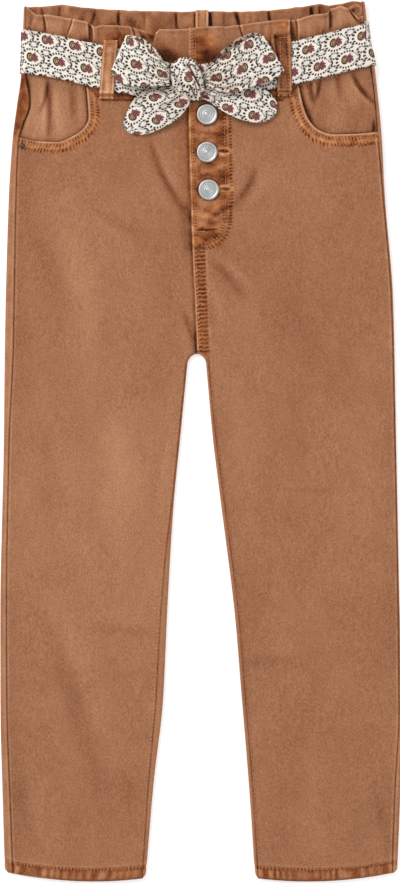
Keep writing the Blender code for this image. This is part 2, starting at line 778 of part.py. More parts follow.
def back_waist(finish):
    """The back waist: round both side folds and across the back, with its frilled top edge."""
    outer, inner = [], []
    down = Vector((0, 0, -1))
    for n, share in enumerate(FRILL_SHARES):
        row = []
        folds = {}
        for half in (RIGHT, LEFT):
            y = waist_rows(BACK_SEAM, belt_back_at, BACK_CORNER[half.name], half.edge(290))[n]
            edge = Vector((half.edge(y), y))
            reach = abs(half.edge(y) - half.seam(y)) - HALF_GAP
            lift = belt_lift(edge.x, y, belt_back_at)
            folds[half.name] = fold_points(edge, Vector((half.side, 0)), reach, lift, FOLD_STEPS, y)
        row += folds["right"]
        for fold in FRILL_BACK:
            y = waist_rows(BACK_SEAM, belt_back_at, fold.top, fold.x)[n]
            z = belt_lift(fold.x, y, belt_back_at) + fold.lift * share
            row.append((Vector((fold.x, y, z)), down))
        row += folds["left"][::-1]
        outer.append([p for p, n in row])
        inner.append([p - n * CLOTH for p, n in row])
    return wall("back_waist", outer, inner, finish)


# ---- belt, its carriers and the bow ----
ACROSS_BELT = (-1.0, -0.33, 0.33, 1.0)
BELT_ANGLE_STEPS = 3
BELT_GAP = 0.45  # the belt's clearance over the gathered waist
BELT_REACH = 6.0  # and how far round it the waist's height counts
CARRIER_GAP = 0.5
CARRIER_REACH = 3.2


def height_beside(half, x, y, reach):
    """The highest the front comes within a reach of a place, for what lies straight across it."""
    beside = (-reach, 0, reach)
    return max(front_height(half, x + dx, y + dy) for dx in beside for dy in beside)


def belt_column(half, x):
    """Front points of the belt at one place along it, from its lower edge to its upper."""
    up = Vector((0, 0, 1))
    heights = [belt_front_at(x) + share * belt_width_at(x) for share in ACROSS_BELT]
    return [(Vector((x, y, height_beside(half, x, y, BELT_REACH))), up) for y in heights]


def belt_side(half, angle):
    """Points of the belt round a side fold, at one angle of the fold."""
    out = []
    for share in ACROSS_BELT:
        y = belt_front_at(half.edge(290)) + share * BELT_HALF
        r, a = radius_at(y), math.radians(angle)
        lift = belt_lift(half.edge(y), y, belt_back_at)
        x = half.edge(y) - half.side * r * (1 - math.cos(a))
        p = Vector((x, y, lift + r * (1 + math.sin(a))))
        out.append((p, Vector((half.side * math.cos(a), 0, math.sin(a)))))
    return out


def belt_wall(name, columns, finish):
    outer = [[p + n * (BELT_GAP + BELT_CLOTH) for p, n in column] for column in columns]
    inner = [[p + n * BELT_GAP for p, n in column] for column in columns]
    return wall(name, outer, inner, finish)


def belt_front(half, stations, finish):
    angles = [2 + n * (88 / BELT_ANGLE_STEPS) for n in range(BELT_ANGLE_STEPS + 1)]
    columns = [belt_side(half, a) for a in angles]
    columns += [belt_column(half, x) for x in stations]
    return belt_wall(f"belt_front_{half.name}", columns, finish)


def belt_back(finish):
    down = Vector((0, 0, -1))
    angles = [-2 - n * (88 / BELT_ANGLE_STEPS) for n in range(BELT_ANGLE_STEPS + 1)]
    columns = [belt_side(RIGHT, a) for a in angles]
    for x in range(-120, 121, 20):
        y = belt_back_at(x)
        columns.append([(Vector((x, y + s * BELT_HALF, BELT_LIFT)), down) for s in ACROSS_BELT])
    columns += [belt_side(LEFT, a) for a in reversed(angles)]
    return belt_wall("belt_back", columns, finish)


def front_carrier(half, top, bottom, finish):
    """A belt carrier: stitched down above and below the belt, and lying over it between."""
    centre = (top.x + bottom.x) / 2
    low = belt_front_at(centre) - belt_width_at(centre) - 2.5
    high = belt_front_at(centre) + belt_width_at(centre) + 2.5
    outer, inner = [], []
    for y in (bottom.y, low - 2.0, low, (low + high) / 2, high, high + 2.0, top.y):
        x = mix(bottom.x, top.x, (y - bottom.y) / (top.y - bottom.y))
        across = [x + s * CARRIER_WIDTH / 2 for s in (-1, 0, 1)]
        over_belt = low <= y <= high
        reach = BELT_REACH if over_belt else CARRIER_REACH
        base = max(height_beside(half, a, y, reach) for a in across) + CARRIER_GAP
        if over_belt:
            base += BELT_GAP + BELT_CLOTH
        outer.append([Vector((a, y, base + CLOTH)) for a in across])
        inner.append([Vector((a, y, base)) for a in across])
    return wall(f"belt_carrier_{half.name}", outer, inner, finish)


def back_carrier(finish):
    """The centre-back carrier: under the belt's back, over the top edge and a little way down inside."""
    top = 321.9
    half_width = CARRIER_WIDTH / 2
    wall_inside = FRILL_LIFT + CLOTH
    path = (  # y and z of the outer face, then of the inner face
        ((262.0, 0.0), (262.0, BELT_CLOTH)),
        ((292.0, 0.0), (292.0, BELT_CLOTH)),
        ((top, 0.0), (top, BELT_CLOTH)),
        ((top + GAP + BELT_CLOTH, 0.6), (top + GAP, FRILL_LIFT - GAP + 0.2)),
        ((top + GAP + BELT_CLOTH, wall_inside + GAP + 0.5), (top + GAP, wall_inside + GAP - 0.1)),
        ((top - 0.6, wall_inside + GAP + BELT_CLOTH), (top - 0.6, wall_inside + GAP)),
        ((310.5, wall_inside + GAP + BELT_CLOTH), (310.5, wall_inside + GAP)),
    )
    outer = [[Vector((s * half_width, y, z)) for s in (-1, 0, 1)] for (y, z), _ in path]
    inner = [[Vector((s * half_width, y, z)) for s in (-1, 0, 1)] for _, (y, z) in path]
    return wall("belt_carrier_back", outer, inner, finish)


def ribbon(name, stations, finish):
    """A stretch of ribbon, as thick as the belt, through its stations."""
    shares = (0.0, 0.2, 0.5, 0.8, 1.0)
    grid = []
    for s in stations:
        a, b = Vector((s.ax, s.ay, s.z)), Vector((s.bx, s.by, s.z))
        lift = Vector((0, 0, s.crown))
        grid.append([a.lerp(b, t) + lift * math.sin(math.pi * t) for t in shares])
    outer, inner = [], []
    last, end = len(grid) - 1, len(shares) - 1
    for i, row in enumerate(grid):
        front, back = [], []
        for j, p in enumerate(row):
            along = grid[min(i + 1, last)][j] - grid[max(i - 1, 0)][j]
            across = row[min(j + 1, end)] - row[max(j - 1, 0)]
            normal = along.cross(across).normalized()
            front.append(p + normal * BELT_CLOTH / 2)
            back.append(p - normal * BELT_CLOTH / 2)
        outer.append(front)
        inner.append(back)
    return wall(name, outer, inner, finish)


def bow_knot(finish):
    """The knot: a flattened barrel whose sections are half rounds with a flat foot."""
    bm = bmesh.new()
    rings = []
    for s in KNOT:
        centre, half_width, height = (s.left + s.right) / 2, (s.right - s.left) / 2, s.top - KNOT_BOTTOM
        ring = []
        for n in range(KNOT_SIDES + 1):
            a = math.pi * n / KNOT_SIDES
            rise = height * math.sin(a) ** 0.7
            ring.append(bm.verts.new((centre + half_width * math.cos(a), s.y, KNOT_BOTTOM + rise)))
        rings.append(ring)
    close_rings(bm, rings)
    return add_piece("bow_knot", bm, finish, sharp=60)


def metal_pieces(button_finish, rivet_finish):
    for spot in BUTTONS:
        z = front_height(LEFT, spot.x, spot.y) + SEAT
        turned(spot.name, BUTTON_PROFILE, spot.x, spot.y, z, button_finish)
    z = front_height(RIGHT, RIVET.x, RIVET.y) + SEAT
    turned(RIVET.name, RIVET_PROFILE, RIVET.x, RIVET.y, z, rivet_finish)


def build():
    clear_scene()
    twill = material("washed_twill", TWILL, 0.85, 0.0)
    print_cotton = material("print_cotton", PRINT, 0.8, 0.0)
    steel = material("brushed_steel", STEEL, 0.35, 1.0)
    dark_steel = material("dark_steel", DARK_STEEL, 0.5, 1.0)
    for half in (RIGHT, LEFT):
        back_panel(half, twill)
        front_panel(half, twill)
        hip_piece(half, twill)
        front_waist(half, twill)
    back_waist(twill)
    belt_back(print_cotton)
    belt_front(RIGHT, (-118, -100, -80, -62, -44, -26, -11.5), print_cotton)
    belt_front(LEFT, (112, 96, 78, 60, 42, 28, 17, 10, -8), print_cotton)
    front_carrier(RIGHT, Vector((-68.2, 299.6)), Vector((-71.6, 256.8)), twill)
    front_carrier(LEFT, Vector((61.2, 303.6)), Vector((61.8, 258.6)), twill)
    back_carrier(twill)
    bow_knot(print_cotton)
    ribbon("bow_loop_right", LOOP_RIGHT, print_cotton)
    ribbon("bow_loop_left", LOOP_LEFT, print_cotton)
    ribbon("bow_tail_right", TAIL_RIGHT, print_cotton)
    ribbon("bow_tail_left", TAIL_LEFT, print_cotton)
    metal_pieces(steel, dark_steel)


build()
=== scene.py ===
# %% [markdown]
# # Child's paperbag-waist trousers, laid flat
# The trousers lie on their back with the front up: the waist towards +Y, the hems towards -Y, and the
# wearer's right leg on the -X side. The solids behind this script hold the true sizes. Here each piece
# of cloth is remade as a fine thin wall on the same form, with its folds, puckers, weave and stitches.

# %% The frame, and the size of the solids
import math
from collections import namedtuple

import bpy
import numpy as np
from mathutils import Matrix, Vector


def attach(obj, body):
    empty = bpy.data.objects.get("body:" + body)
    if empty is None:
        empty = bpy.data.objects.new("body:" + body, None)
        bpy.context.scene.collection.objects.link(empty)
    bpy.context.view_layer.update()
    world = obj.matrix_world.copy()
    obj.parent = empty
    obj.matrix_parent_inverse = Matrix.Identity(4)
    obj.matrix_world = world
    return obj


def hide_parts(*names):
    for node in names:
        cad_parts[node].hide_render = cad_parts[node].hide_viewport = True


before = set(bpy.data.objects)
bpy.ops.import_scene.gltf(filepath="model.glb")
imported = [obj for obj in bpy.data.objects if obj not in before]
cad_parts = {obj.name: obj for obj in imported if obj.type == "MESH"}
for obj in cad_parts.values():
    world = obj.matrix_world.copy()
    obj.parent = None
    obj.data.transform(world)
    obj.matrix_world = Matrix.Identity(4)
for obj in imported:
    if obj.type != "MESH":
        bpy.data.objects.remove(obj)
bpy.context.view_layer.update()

print("solids", sorted(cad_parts))

# %% [markdown]
# ## Camera, light and floor
# The camera looks straight down from far away with a long lens, so the garment is seen almost without
# perspective, as in a catalogue. A wide soft light from the upper left draws the folds, a weaker one
# fills their shadows, and the pale world lights the rest.

# %% Camera, light and floor
MM = 0.001
PICTURE_HEIGHT = 883
MM_PER_PIXEL = 0.75
CAMERA_HEIGHT = 3.0
scene = bpy.context.scene
scene.view_settings.view_transform = "Standard"


def add_object(name, data):
    """Puts a mesh, a lamp or a camera into the scene."""
    thing = bpy.data.objects.new(name, data)
    scene.collection.objects.link(thing)
    return thing


def add_light(name, place, size, watts):
    lamp = bpy.data.lights.new(name, "AREA")
    lamp.shape, lamp.size, lamp.energy = "SQUARE", size, watts
    holder = add_object(name, lamp)
    holder.location = place
    holder.rotation_euler = (-Vector(place)).to_track_quat("-Z", "Y").to_euler()


def feed(node, inputs):
    """Gives a node's inputs their values. A field or another node's output is linked instead."""
    for key, value in inputs.items():
        value = getattr(value, "socket", value)
        if isinstance(value, bpy.types.NodeSocket):
            node.id_data.links.new(value, node.inputs[key])
        else:
            node.inputs[key].default_value = value


def feed_shader(tree, inputs):
    feed(tree.nodes["Principled BSDF"], inputs)


def plain_material(name, colour, roughness=0.9, metallic=0.0, more=None):
    finish = bpy.data.materials.new(name)
    finish.use_nodes = True
    inputs = {"Base Color": (*colour, 1), "Roughness": roughness, "Metallic": metallic}
    feed_shader(finish.node_tree, {**inputs, **(more or {})})
    return finish


lens = bpy.data.cameras.new("camera")
lens.lens = lens.sensor_width * CAMERA_HEIGHT / (PICTURE_HEIGHT * MM_PER_PIXEL * MM)
lens.clip_start, lens.clip_end = 0.1, 20
scene.camera = add_object("camera", lens)
scene.camera.location = (-1.5 * MM, 0, CAMERA_HEIGHT)

add_light("key", (-1.5, 1.5, 2.2), 1.2, 48)
add_light("fill", (1.2, -0.6, 1.6), 1.6, 7)
world = bpy.data.worlds.new("studio")
world.use_nodes = True
feed(world.node_tree.nodes["Background"], {"Color": (1, 1, 1, 1), "Strength": 0.62})
scene.world = world

floor_mesh = bpy.data.meshes.new("floor")
floor_mesh.from_pydata([(-3, -3, 0), (3, -3, 0), (3, 3, 0), (-3, 3, 0)], [], [(0, 1, 2, 3)])
glow = {"Emission Color": (1, 1, 1, 1), "Emission Strength": 0.32}
floor_mesh.materials.append(plain_material("floor", (0.98, 0.98, 0.98), more=glow))
floor = add_object("floor", floor_mesh)
floor.location.z = -0.0004

# %% [markdown]
# ## Sizes of the cut
# These are the same sizes, in millimetres, that the solids are built from: the side folds and the seam
# beside each, the inside legs, the waist seam, the belt's line and how high the cloth lies. A smooth
# curve is drawn through each table, so every later piece asks the same few functions where it lies.

# %% Sizes of the cut, in millimetres
CLOTH = 1.2
BELT_CLOTH = 1.0
GAP = 0.3
HALF_GAP = GAP / 2
HEM_WALL = 1.8
ROLL = 9.0
BELT_HALF = 16.0
BELT_LIFT = 2.75
FRILL_LIFT = 1.3
LIFT_FULL, LIFT_START = 2.0, 12.0
FALL_START, FALL_END = 1.0, 9.0
LAP, LAP_RISE, LAP_FLAT, LAP_END, LAP_TOP, LAP_FOOT = 18.0, 1.7, 20.5, 27.0, 126.0, 112.0
CROTCH = (-3.4, 65.6)
ARCH_HEIGHT = 9.0
BELT_SIDE_Y = 290.0
RIGHT, LEFT = -1, 1
SIDES = {RIGHT: "right", LEFT: "left"}


def table(columns, text):
    """Rows of numbers with a semicolon between them. A last number that isn't given is 0."""
    Row = namedtuple("Row", columns, defaults=[0.0])
    return [Row(*map(float, row.split())) for row in text.split(";")]


def both(columns, right, left):
    """The wearer's right and left side of a table."""
    return {RIGHT: table(columns, right), LEFT: table(columns, left)}


OUTSEAM = both("y edge seam", right="""
326 -133.5 -131.6; 279 -135 -132.2; 253 -138.4 -128.8; 238 -140.5 -133.8; 226 -141.9 -137.4;
184 -144.7 -139.3; 69 -147.8 -141.5; 1 -148.5 -144.5; -133 -151.2 -146.6; -194 -151.1 -146.3;
-280 -149 -143.4; -330 -147.5 -141.6
""", left="""
330 121.8 119.4; 298 125.4 123; 283 128.8 126.6; 253 132.4 130.2; 227 134.7 131.9; 184 137 135.6;
106 143.2 141.9; 1 145.5 144.6; -117 147.9 146.8; -205 150.3 147.6; -261 148.7 144.6; -330 146 142.3
""")
INSEAM = both("y edge seam", right="""
56.6 -11.1 -12; 1 -16.5 -17.5; -44 -21 -22.3; -84 -23.7 -27; -133 -26.3 -31.1; -194 -29.2 -34.4;
-256 -36.2 -39.8; -330 -42.4 -44.7
""", left="""
56.6 3.2 5; 1 8.3 10.6; -44 13.9 16.5; -134 25 27.8; -179 28.7 31.4; -269 36 38.5; -330 39.9 42
""")
FLY_EDGE = table("y x", "310 -10.2; 249 -9.9; 174 -8; 133 -6.4; 66 -3.4")
CENTRE_BACK = table("y x", "260; 66 -3.4")
LEVELS = table("y radius middle", """
330 3.5 6.8; 300 3.3 6.4; 280 3.2 6.2; 220 3.2 6.1; 150 3 5.2; 90 2.6 4.1; 50 2.3 3.4; -270 2.3 3.2;
-315 2.3 4.5; -330 2.3 4.6
""")
FRONT_SEAM = table("x y", """
-139 285; -128 279; -111 275; -86.4 266; -74.4 255.4; -10 254.8; 60.2 255.4; 72.2 266.5; 94 274; 135 288
""")
BACK_SEAM = table("x y", "-139 284; 132 286")
BELT_FRONT = table("x y", """
-137 292; -111 288; -83 281.6; -50 275; -11 270; 40 278; 68 283; 111 293.6; 131 298.5
""")
BELT_BACK = table("x y", "-137 292; -70 286; 0 284; 70 290; 131 298.5")
BELT_WIDTHS = table("x y", "-50 16; -24 12; 0 11; 24 13; 50 16")
SCOOP = both("x y fly_y", right="""
-137.2 227.6 195; -123 224.9 205; -108.5 224.2 214; -97 228.4 224; -88.5 234.4 233; -84.6 242.6 242;
-85.2 253 249; -86.4 265.7 254.5
""", left="""
131.5 231.8 197; 114.8 230.3 207; 98.2 229.9 215; 87.8 232.9 224; 79.5 241.1 234; 75.2 252 245;
72.2 266.2 254.5
""")
SEAT_ROWS = (196, 172, 150, 128, 104, 84)
ARCH_ROWS = ((0, 69), (30, 66), (60, 61), (90, 56.6))
LEG_ROWS = table("outer inner bow", """
40 40; 5 5; -75 -75; -155 -155; -232 -232 1; -266 -266 3; -294 -295 4; -312 -314 4.1; -322.5 -326.6 4.1
""")
CREASES = table("x1 y1 x2 y2 lift width", """
-39 226 -14 172 -0.8 9; 44 206 30 178 -0.7 9; -60 190 -95 120 0.7 22; 62 200 96 130 0.7 22;
-20 100 -60 30 0.8 16; 14 104 52 40 0.7 16; -104 10 -92 -110 0.7 20; 92 20 84 -100 0.7 20;
-60 -60 -98 -190 0.6 18; 66 -80 104 -200 0.6 18; -88 -215 -82 -300 0.5 20; 92 -225 86 -305 0.5 20
""")


# %% Smooth curves through the tables
def hermite(k, v, slope, x):
    """The height at x of a curve through the points (k, v) that has these slopes there."""
    x = np.clip(x, k[0], k[-1])
    i = np.clip(np.searchsorted(k, x, side="right") - 1, 0, len(k) - 2)
    span = k[i + 1] - k[i]
    t = (x - k[i]) / span
    start = v[i] * (1 + 2 * t) * (1 - t) ** 2 + slope[i] * span * t * (1 - t) ** 2
    end = v[i + 1] * t * t * (3 - 2 * t) - slope[i + 1] * span * t * t * (1 - t)
    return start + end


def through(keys, values):
    """A function that runs smoothly through the values at their keys and never past them."""
    k, v = np.array(sorted(zip(keys, values)), float).T
    slope = np.diff(v) / np.diff(k)
    product = slope[:-1] * slope[1:]
    shared = np.where(product > 0, 2 * product / np.where(product > 0, slope[:-1] + slope[1:], 1), 0)
    slope = np.concatenate([slope[:1], shared, slope[-1:]])
    return lambda x: hermite(k, v, slope, x)


def smooth(rows, key, value):
    return through([getattr(r, key) for r in rows], [getattr(r, value) for r in rows])


def straight(rows, x):
    return np.interp(x, [r.x for r in rows], [r.y for r in rows])


def ease(low, high, value):
    t = np.clip((value - low) / (high - low), 0, 1)
    return t * t * (3 - 2 * t)


def bump(distance, width):
    return np.exp(-((distance / width) ** 2))


edge_at, seam_at = ({s: smooth(OUTSEAM[s], "y", key) for s in SIDES} for key in ("edge", "seam"))
inner_edge_at, inner_seam_at = ({s: smooth(INSEAM[s], "y", key) for s in SIDES} for key in ("edge", "seam"))
fly_at, centre_back_at = (smooth(rows, "y", "x") for rows in (FLY_EDGE, CENTRE_BACK))
radius_at, middle_at = (smooth(LEVELS, "y", key) for key in ("radius", "middle"))
belt_front_at, belt_back_at = (smooth(rows, "x", "y") for rows in (BELT_FRONT, BELT_BACK))
belt_width_at = smooth(BELT_WIDTHS, "x", "y")
print("hem width", inner_edge_at[RIGHT](-330.0) - edge_at[RIGHT](-330.0), "mm")

# %% [markdown]
# ## How high the cloth lies
# Laid flat, a trouser leg is a flattened tube: a small round fold at each side, and between the folds
# the front rests on the back. The hips are a little fuller, the belt's back lifts them, and the left
# front steps up over the right at the fly. One height function says all this for any place, so that
# panels, belt loops, buttons and stitches all sit on exactly the same cloth.


# %% The height of the front
def arch_point(side, angle):
    """A point of the arch between the legs, from its top (0 degrees) to where the leg starts (90)."""
    half = abs(INSEAM[side][0].edge - CROTCH[0])
    a = np.radians(angle)
    return CROTCH[0] + side * half * np.sin(a), CROTCH[1] + ARCH_HEIGHT * (np.cos(a) - 1)


def arch_face(side, angle):
    """The directions in which the arch's edge faces, one row for each angle."""
    half = abs(INSEAM[side][0].edge - CROTCH[0])
    a = np.radians(angle)
    face = np.stack([-side * np.sin(a) / half, -np.cos(a) / ARCH_HEIGHT], axis=1)
    return face / np.linalg.norm(face, axis=1, keepdims=True)


def inner_distance(side, x, y):
    """How far a place is from the space between the legs."""
    ax, ay = arch_point(side, np.arange(0, 91, 5.0))
    near = np.sqrt(np.min((x[..., None] - ax) ** 2 + (y[..., None] - ay) ** 2, axis=-1))
    far = np.abs(x - inner_edge_at[side](y))
    return np.where(y > 90, 1000, np.where(y >= INSEAM[side][0].y, near, far))


def section_height(d, y):
    r, middle = radius_at(y), middle_at(y)
    fold = r + np.sqrt(np.maximum(r * r - (r - d) ** 2, 0))
    flat = middle + (2 * r - middle) * bump(np.maximum(d - r, 0), ROLL)
    return np.where(d < r, fold, flat)


def belt_lift(x, y):
    """How far the belt's back and its carrier hold the trousers off the surface."""
    belt = belt_back_at(x)
    lower, upper = belt - BELT_HALF, belt + BELT_HALF
    up = ease(lower - LIFT_START, lower - LIFT_FULL, y)
    down = ease(upper + FALL_START, upper + FALL_END, y)
    return BELT_LIFT * up - (BELT_LIFT - FRILL_LIFT) * down


def broad_creases(x, y):
    total = np.zeros_like(x)
    for c in CREASES:
        dx, dy = c.x2 - c.x1, c.y2 - c.y1
        t = np.clip(((x - c.x1) * dx + (y - c.y1) * dy) / (dx * dx + dy * dy), 0, 1)
        total += c.lift * bump(np.hypot(x - c.x1 - t * dx, y - c.y1 - t * dy), c.width)
    return total


def lap_rise(x, y):
    across = 1 - ease(LAP_FLAT, LAP_END, x - fly_at(y))
    return LAP_RISE * across * ease(LAP_FOOT, LAP_TOP, y)


def form_height(side, x, y):
    """The front's outer face before any of its fine folds, as the solids have it."""
    d = np.minimum(np.abs(edge_at[side](y) - x), inner_distance(side, x, y))
    height = section_height(d, y)
    height = height + broad_creases(x, y) * ease(0, 25, d) * (1 - ease(235, 255, y))
    height = height + belt_lift(x, y)
    return height + (lap_rise(x, y) if side == LEFT else 0)


probe = form_height(LEFT, np.array([5.0, 80.0]), np.array([216.0, -100.0]))
print("front is", probe.round(2), "mm up at the fly and on the leg")

# %% [markdown]
# ## Folds, puckers and fading
# Garment-washed twill fades where it stands proud and stays dark in its seams. So two things are
# worked out together for every point: how far a fold lifts it, and its tone, from -1 (deep rust and
# painted shade in a pucker) to +1 (worn pale and a painted highlight on an edge). Besides fading and
# rust, the tone holds painted shade in fold hollows, gaps and under edges, and painted highlights on
# fold ridges. A seam's narrow bars are finer than the grid. So the grid only holds how strong they are
# and their phase, and the material draws them. Noise from a fixed hash keeps the unevenness the same in
# every run.


# %% Noise, and the skin of a cloth
def hashed(ix, iy, seed):
    h = (ix.astype(np.int64) * 374761393 + iy.astype(np.int64) * 668265263 + seed * 1274126177)
    h = h & 0xFFFFFFFF
    h = ((h ^ (h >> 13)) * 1103515245) & 0xFFFFFFFF
    h = ((h ^ (h >> 16)) * 2654435761) & 0xFFFFFFFF
    return (h >> 8) / float(1 << 24)


def noise(x, y, size, seed):
    """Smooth noise from -1 to 1 whose lumps are about size across; size may be a pair."""
    wide, high = size if isinstance(size, tuple) else (size, size)
    u, v = np.asarray(x / wide, float), np.asarray(y / high, float)
    iu, iv = np.floor(u), np.floor(v)
    fu, fv = u - iu, v - iv
    fu, fv = fu * fu * (3 - 2 * fu), fv * fv * (3 - 2 * fv)
    corner = [[hashed(iu + a, iv + b, seed) for b in (0, 1)] for a in (0, 1)]
    low = corner[0][0] * (1 - fu) + corner[1][0] * fu
    high_row = corner[0][1] * (1 - fu) + corner[1][1] * fu
    return 2 * (low * (1 - fv) + high_row * fv) - 1


def waver(run, size, seed):
    """Noise along one length only."""
    return noise(run, run * 0, (size, 1), seed)


def path_length(path, least=0.0):
    """How far along a path each of its points lies. No step counts as shorter than the least."""
    steps = np.linalg.norm(np.diff(np.asarray(path, float), axis=0), axis=1)
    return np.concatenate([[0], np.cumsum(np.maximum(steps, least))])


def nearest(path, x, y):
    """For each place: its distance to a path, how far along that is, and the distance once more,
    positive to the path's left and negative to its right."""
    px, py = np.asarray(path, float).T
    along = path_length(path)
    best = np.full(x.shape, 1e9)
    run, sign = np.zeros(x.shape), np.ones(x.shape)
    for i in range(len(px) - 1):
        dx, dy = px[i + 1] - px[i], py[i + 1] - py[i]
        length = math.hypot(dx, dy) or 1e-9
        t = np.clip(((x - px[i]) * dx + (y - py[i]) * dy) / length**2, 0, 1)
        d = np.hypot(x - px[i] - t * dx, y - py[i] - t * dy)
        near = d < best
        best = np.where(near, d, best)
        run = np.where(near, along[i] + t * length, run)
        sign = np.where(near, np.sign(dx * (y - py[i]) - dy * (x - px[i])), sign)
    return best, run, best * sign


def fold_line(f, steps=14):
    t = np.linspace(0, 1, steps)
    dx, dy = f.x2 - f.x1, f.y2 - f.y1
    length = math.hypot(dx, dy)
    bow = f.bend * 4 * t * (1 - t)
    return np.stack([f.x1 + t * dx - bow * dy / length, f.y1 + t * dy + bow * dx / length], axis=1)


DEEPEST = -0.9


class Skin:
    """What is known of a cloth's surface at every place of its grid: lift, tone, rust and bars."""

    def __init__(self, x, y):
        self.x, self.y = x, y
        self.lift, self.tone, self.rust, self.bars, self.phase = (np.zeros(x.shape) for _ in range(5))
        self.off_bars = np.full(x.shape, 99.0)

    def beside(self, path, reach):
        """The places within reach of a path, and what nearest() says of them."""
        px, py = np.asarray(path, float).T
        here = (self.x > px.min() - reach) & (self.x < px.max() + reach)
        here &= (self.y > py.min() - reach) & (self.y < py.max() + reach)
        return here, *nearest(path, self.x[here], self.y[here])

    def stain(self, amount):
        """Leaves at least this much rust dye."""
        self.rust = np.maximum(self.rust, amount)

    def folds(self, folds):
        """Adds each fold's lift and tone where it runs. The tone is painted shade along a hollow and a
        painted highlight along a ridge, moved to one side by lean. It fades out at its ends.
        """
        for f in folds:
            path = fold_line(f)
            here, d, run, left = self.beside(path, 3 * f.width)
            taper = np.sin(math.pi * np.clip(run / path_length(path)[-1], 0.02, 0.98)) ** 0.7
            self.lift[here] += f.lift * bump(d, f.width) * taper
            self.tone[here] += f.tone * bump(left - 0.8 * f.width * f.lean, f.width) * taper

    def line(self, path, centre, width, amount, depth=0.0, ragged=0.5, seed=5):
        """A fine pale or dark line, raised by depth, at one distance from a path, positive to its left."""
        here, _, run, left = self.beside(path, abs(centre) + 4 * width)
        band = bump(left - centre, width)
        self.tone[here] += amount * band * (1 + ragged * waver(run, 5, seed))
        self.lift[here] += depth * band

    def puckers(self, path, low, high, pitch=2.6, slant=0.6, dye=0.5, seed=1):
        """A band of slanting bars between two distances from a path, positive to its left. The bars
        hold rust and fading, and painted shade in the pucker hollows.
        """
        low, high = sorted((low, high))
        here, _, run, left = self.beside(path, max(abs(low), abs(high)) + 4)
        outside = np.maximum(low - left, left - high)
        inside = 1 - ease(-0.7, 0.7, outside)
        lean = run + slant * left + 0.8 * noise(run, left, (pitch * 3, 6), seed + 7)
        wins = outside < self.off_bars[here]
        amount = dye * inside * (0.85 + 0.35 * noise(run, left, (pitch * 4, 5), seed))
        for values, new in ((self.phase, lean / pitch), (self.bars, amount), (self.off_bars, outside)):
            values[here] = np.where(wins, new, values[here])
        self.lift[here] += 0.1 * dye * inside * noise(run, left, (pitch * 1.6, 3), seed + 3)

    def values(self, inner_shade=0.0):
        """Pairs for the outer and the inner face, as cloth_piece stores them. The inner face gets one even
        tone from the argument, a painted shade.
        """
        none = self.tone * 0
        return {
            "tone": (np.maximum(self.tone, DEEPEST), none + inner_shade), "rust": (self.rust, none),
            "bars": (self.bars, none), "phase": (self.phase, self.phase),
        }


print("noise", noise(np.array([1.0, 50.0]), np.array([2.0, 3.0]), 7, 1).round(3))

# %% [markdown]
# ## Washed twill
# The cloth is cotton twill, dyed rust brown and washed until it looks soft and dusty. Its colour comes
# from the stored tone through a colour ramp; besides the fading, that tone holds painted shade and
# painted highlights. Where a seam kept more of the dye, a second stored value warms it towards orange.
# The seam bars darken each pucker hollow with rust and painted shade. Fine noise gives the yarns, a
# slanting wave gives the twill's ribs, and both also bend the light a little through a bump.


# %% Colours, and sums worked out by shader nodes
def srgb(*values):
    linear = []
    for value in values:
        v = value / 255
        linear.append(v / 12.92 if v <= 0.04045 else ((v + 0.055) / 1.055) ** 2.4)
    return (*linear, 1.0)


def add_node(tree, kind, inputs=None, **settings):
    node = tree.nodes.new(kind)
    for key, value in settings.items():
        setattr(node, key, value)
    feed(node, inputs or {})
    return node


class Field:
    """A number that a material works out for each point. Fields add and multiply like numbers."""

    def __init__(self, socket):
        self.socket, self.tree = socket, socket.id_data

    def math(self, operation, *others):
        terms = dict(enumerate((self, *others)))
        return Field(add_node(self.tree, "ShaderNodeMath", terms, operation=operation).outputs[0])

    def __add__(self, other):
        return self.math("ADD", other)

    def __sub__(self, other):
        return self.math("SUBTRACT", other)

    def __mul__(self, other):
        return self.math("MULTIPLY", other)

    def __truediv__(self, other):
        return self.math("DIVIDE", other)

    def length(self, other):
        return (self * self + other * other).math("SQRT")

    def below(self, limit, blur):
        """1 where this is below the limit, 0 above it, and soft over twice the blur."""
        inputs = {"Value": self, "From Min": limit - blur, "From Max": limit + blur, "To Min": 1, "To Max": 0}
        node = add_node(self.tree, "ShaderNodeMapRange", inputs, interpolation_type="SMOOTHSTEP")
        return Field(node.outputs["Result"])


def stored(tree, name):
    return Field(add_node(tree, "ShaderNodeAttribute", attribute_name=name).outputs["Fac"])


def own_place(tree):
    return add_node(tree, "ShaderNodeTexCoord").outputs["Object"]


def grain(tree, scale, detail=2.0, stretch=(1, 1, 1), turn=0.0):
    """Noise between -0.5 and 0.5 on the object's own coordinates; scale is in lumps to the metre."""
    inputs = {"Vector": own_place(tree), "Scale": stretch, "Rotation": (0, 0, turn)}
    place = add_node(tree, "ShaderNodeMapping", inputs).outputs["Vector"]
    texture = add_node(tree, "ShaderNodeTexNoise", {"Vector": place, "Scale": scale, "Detail": detail})
    return Field(texture.outputs["Fac"]) - 0.5


def mixed(tree, amount, first, second, blend="MIX"):
    """Mixes two colours; each is a colour or a socket. 6, 7 and 2 are the node's colour sockets."""
    inputs = {"Factor": amount, 6: first, 7: second}
    return add_node(tree, "ShaderNodeMix", inputs, data_type="RGBA", blend_type=blend).outputs[2]


def add_bump(height, strength, distance):
    inputs = {"Height": height, "Strength": strength, "Distance": distance}
    feed_shader(height.tree, {"Normal": add_node(height.tree, "ShaderNodeBump", inputs).outputs["Normal"]})


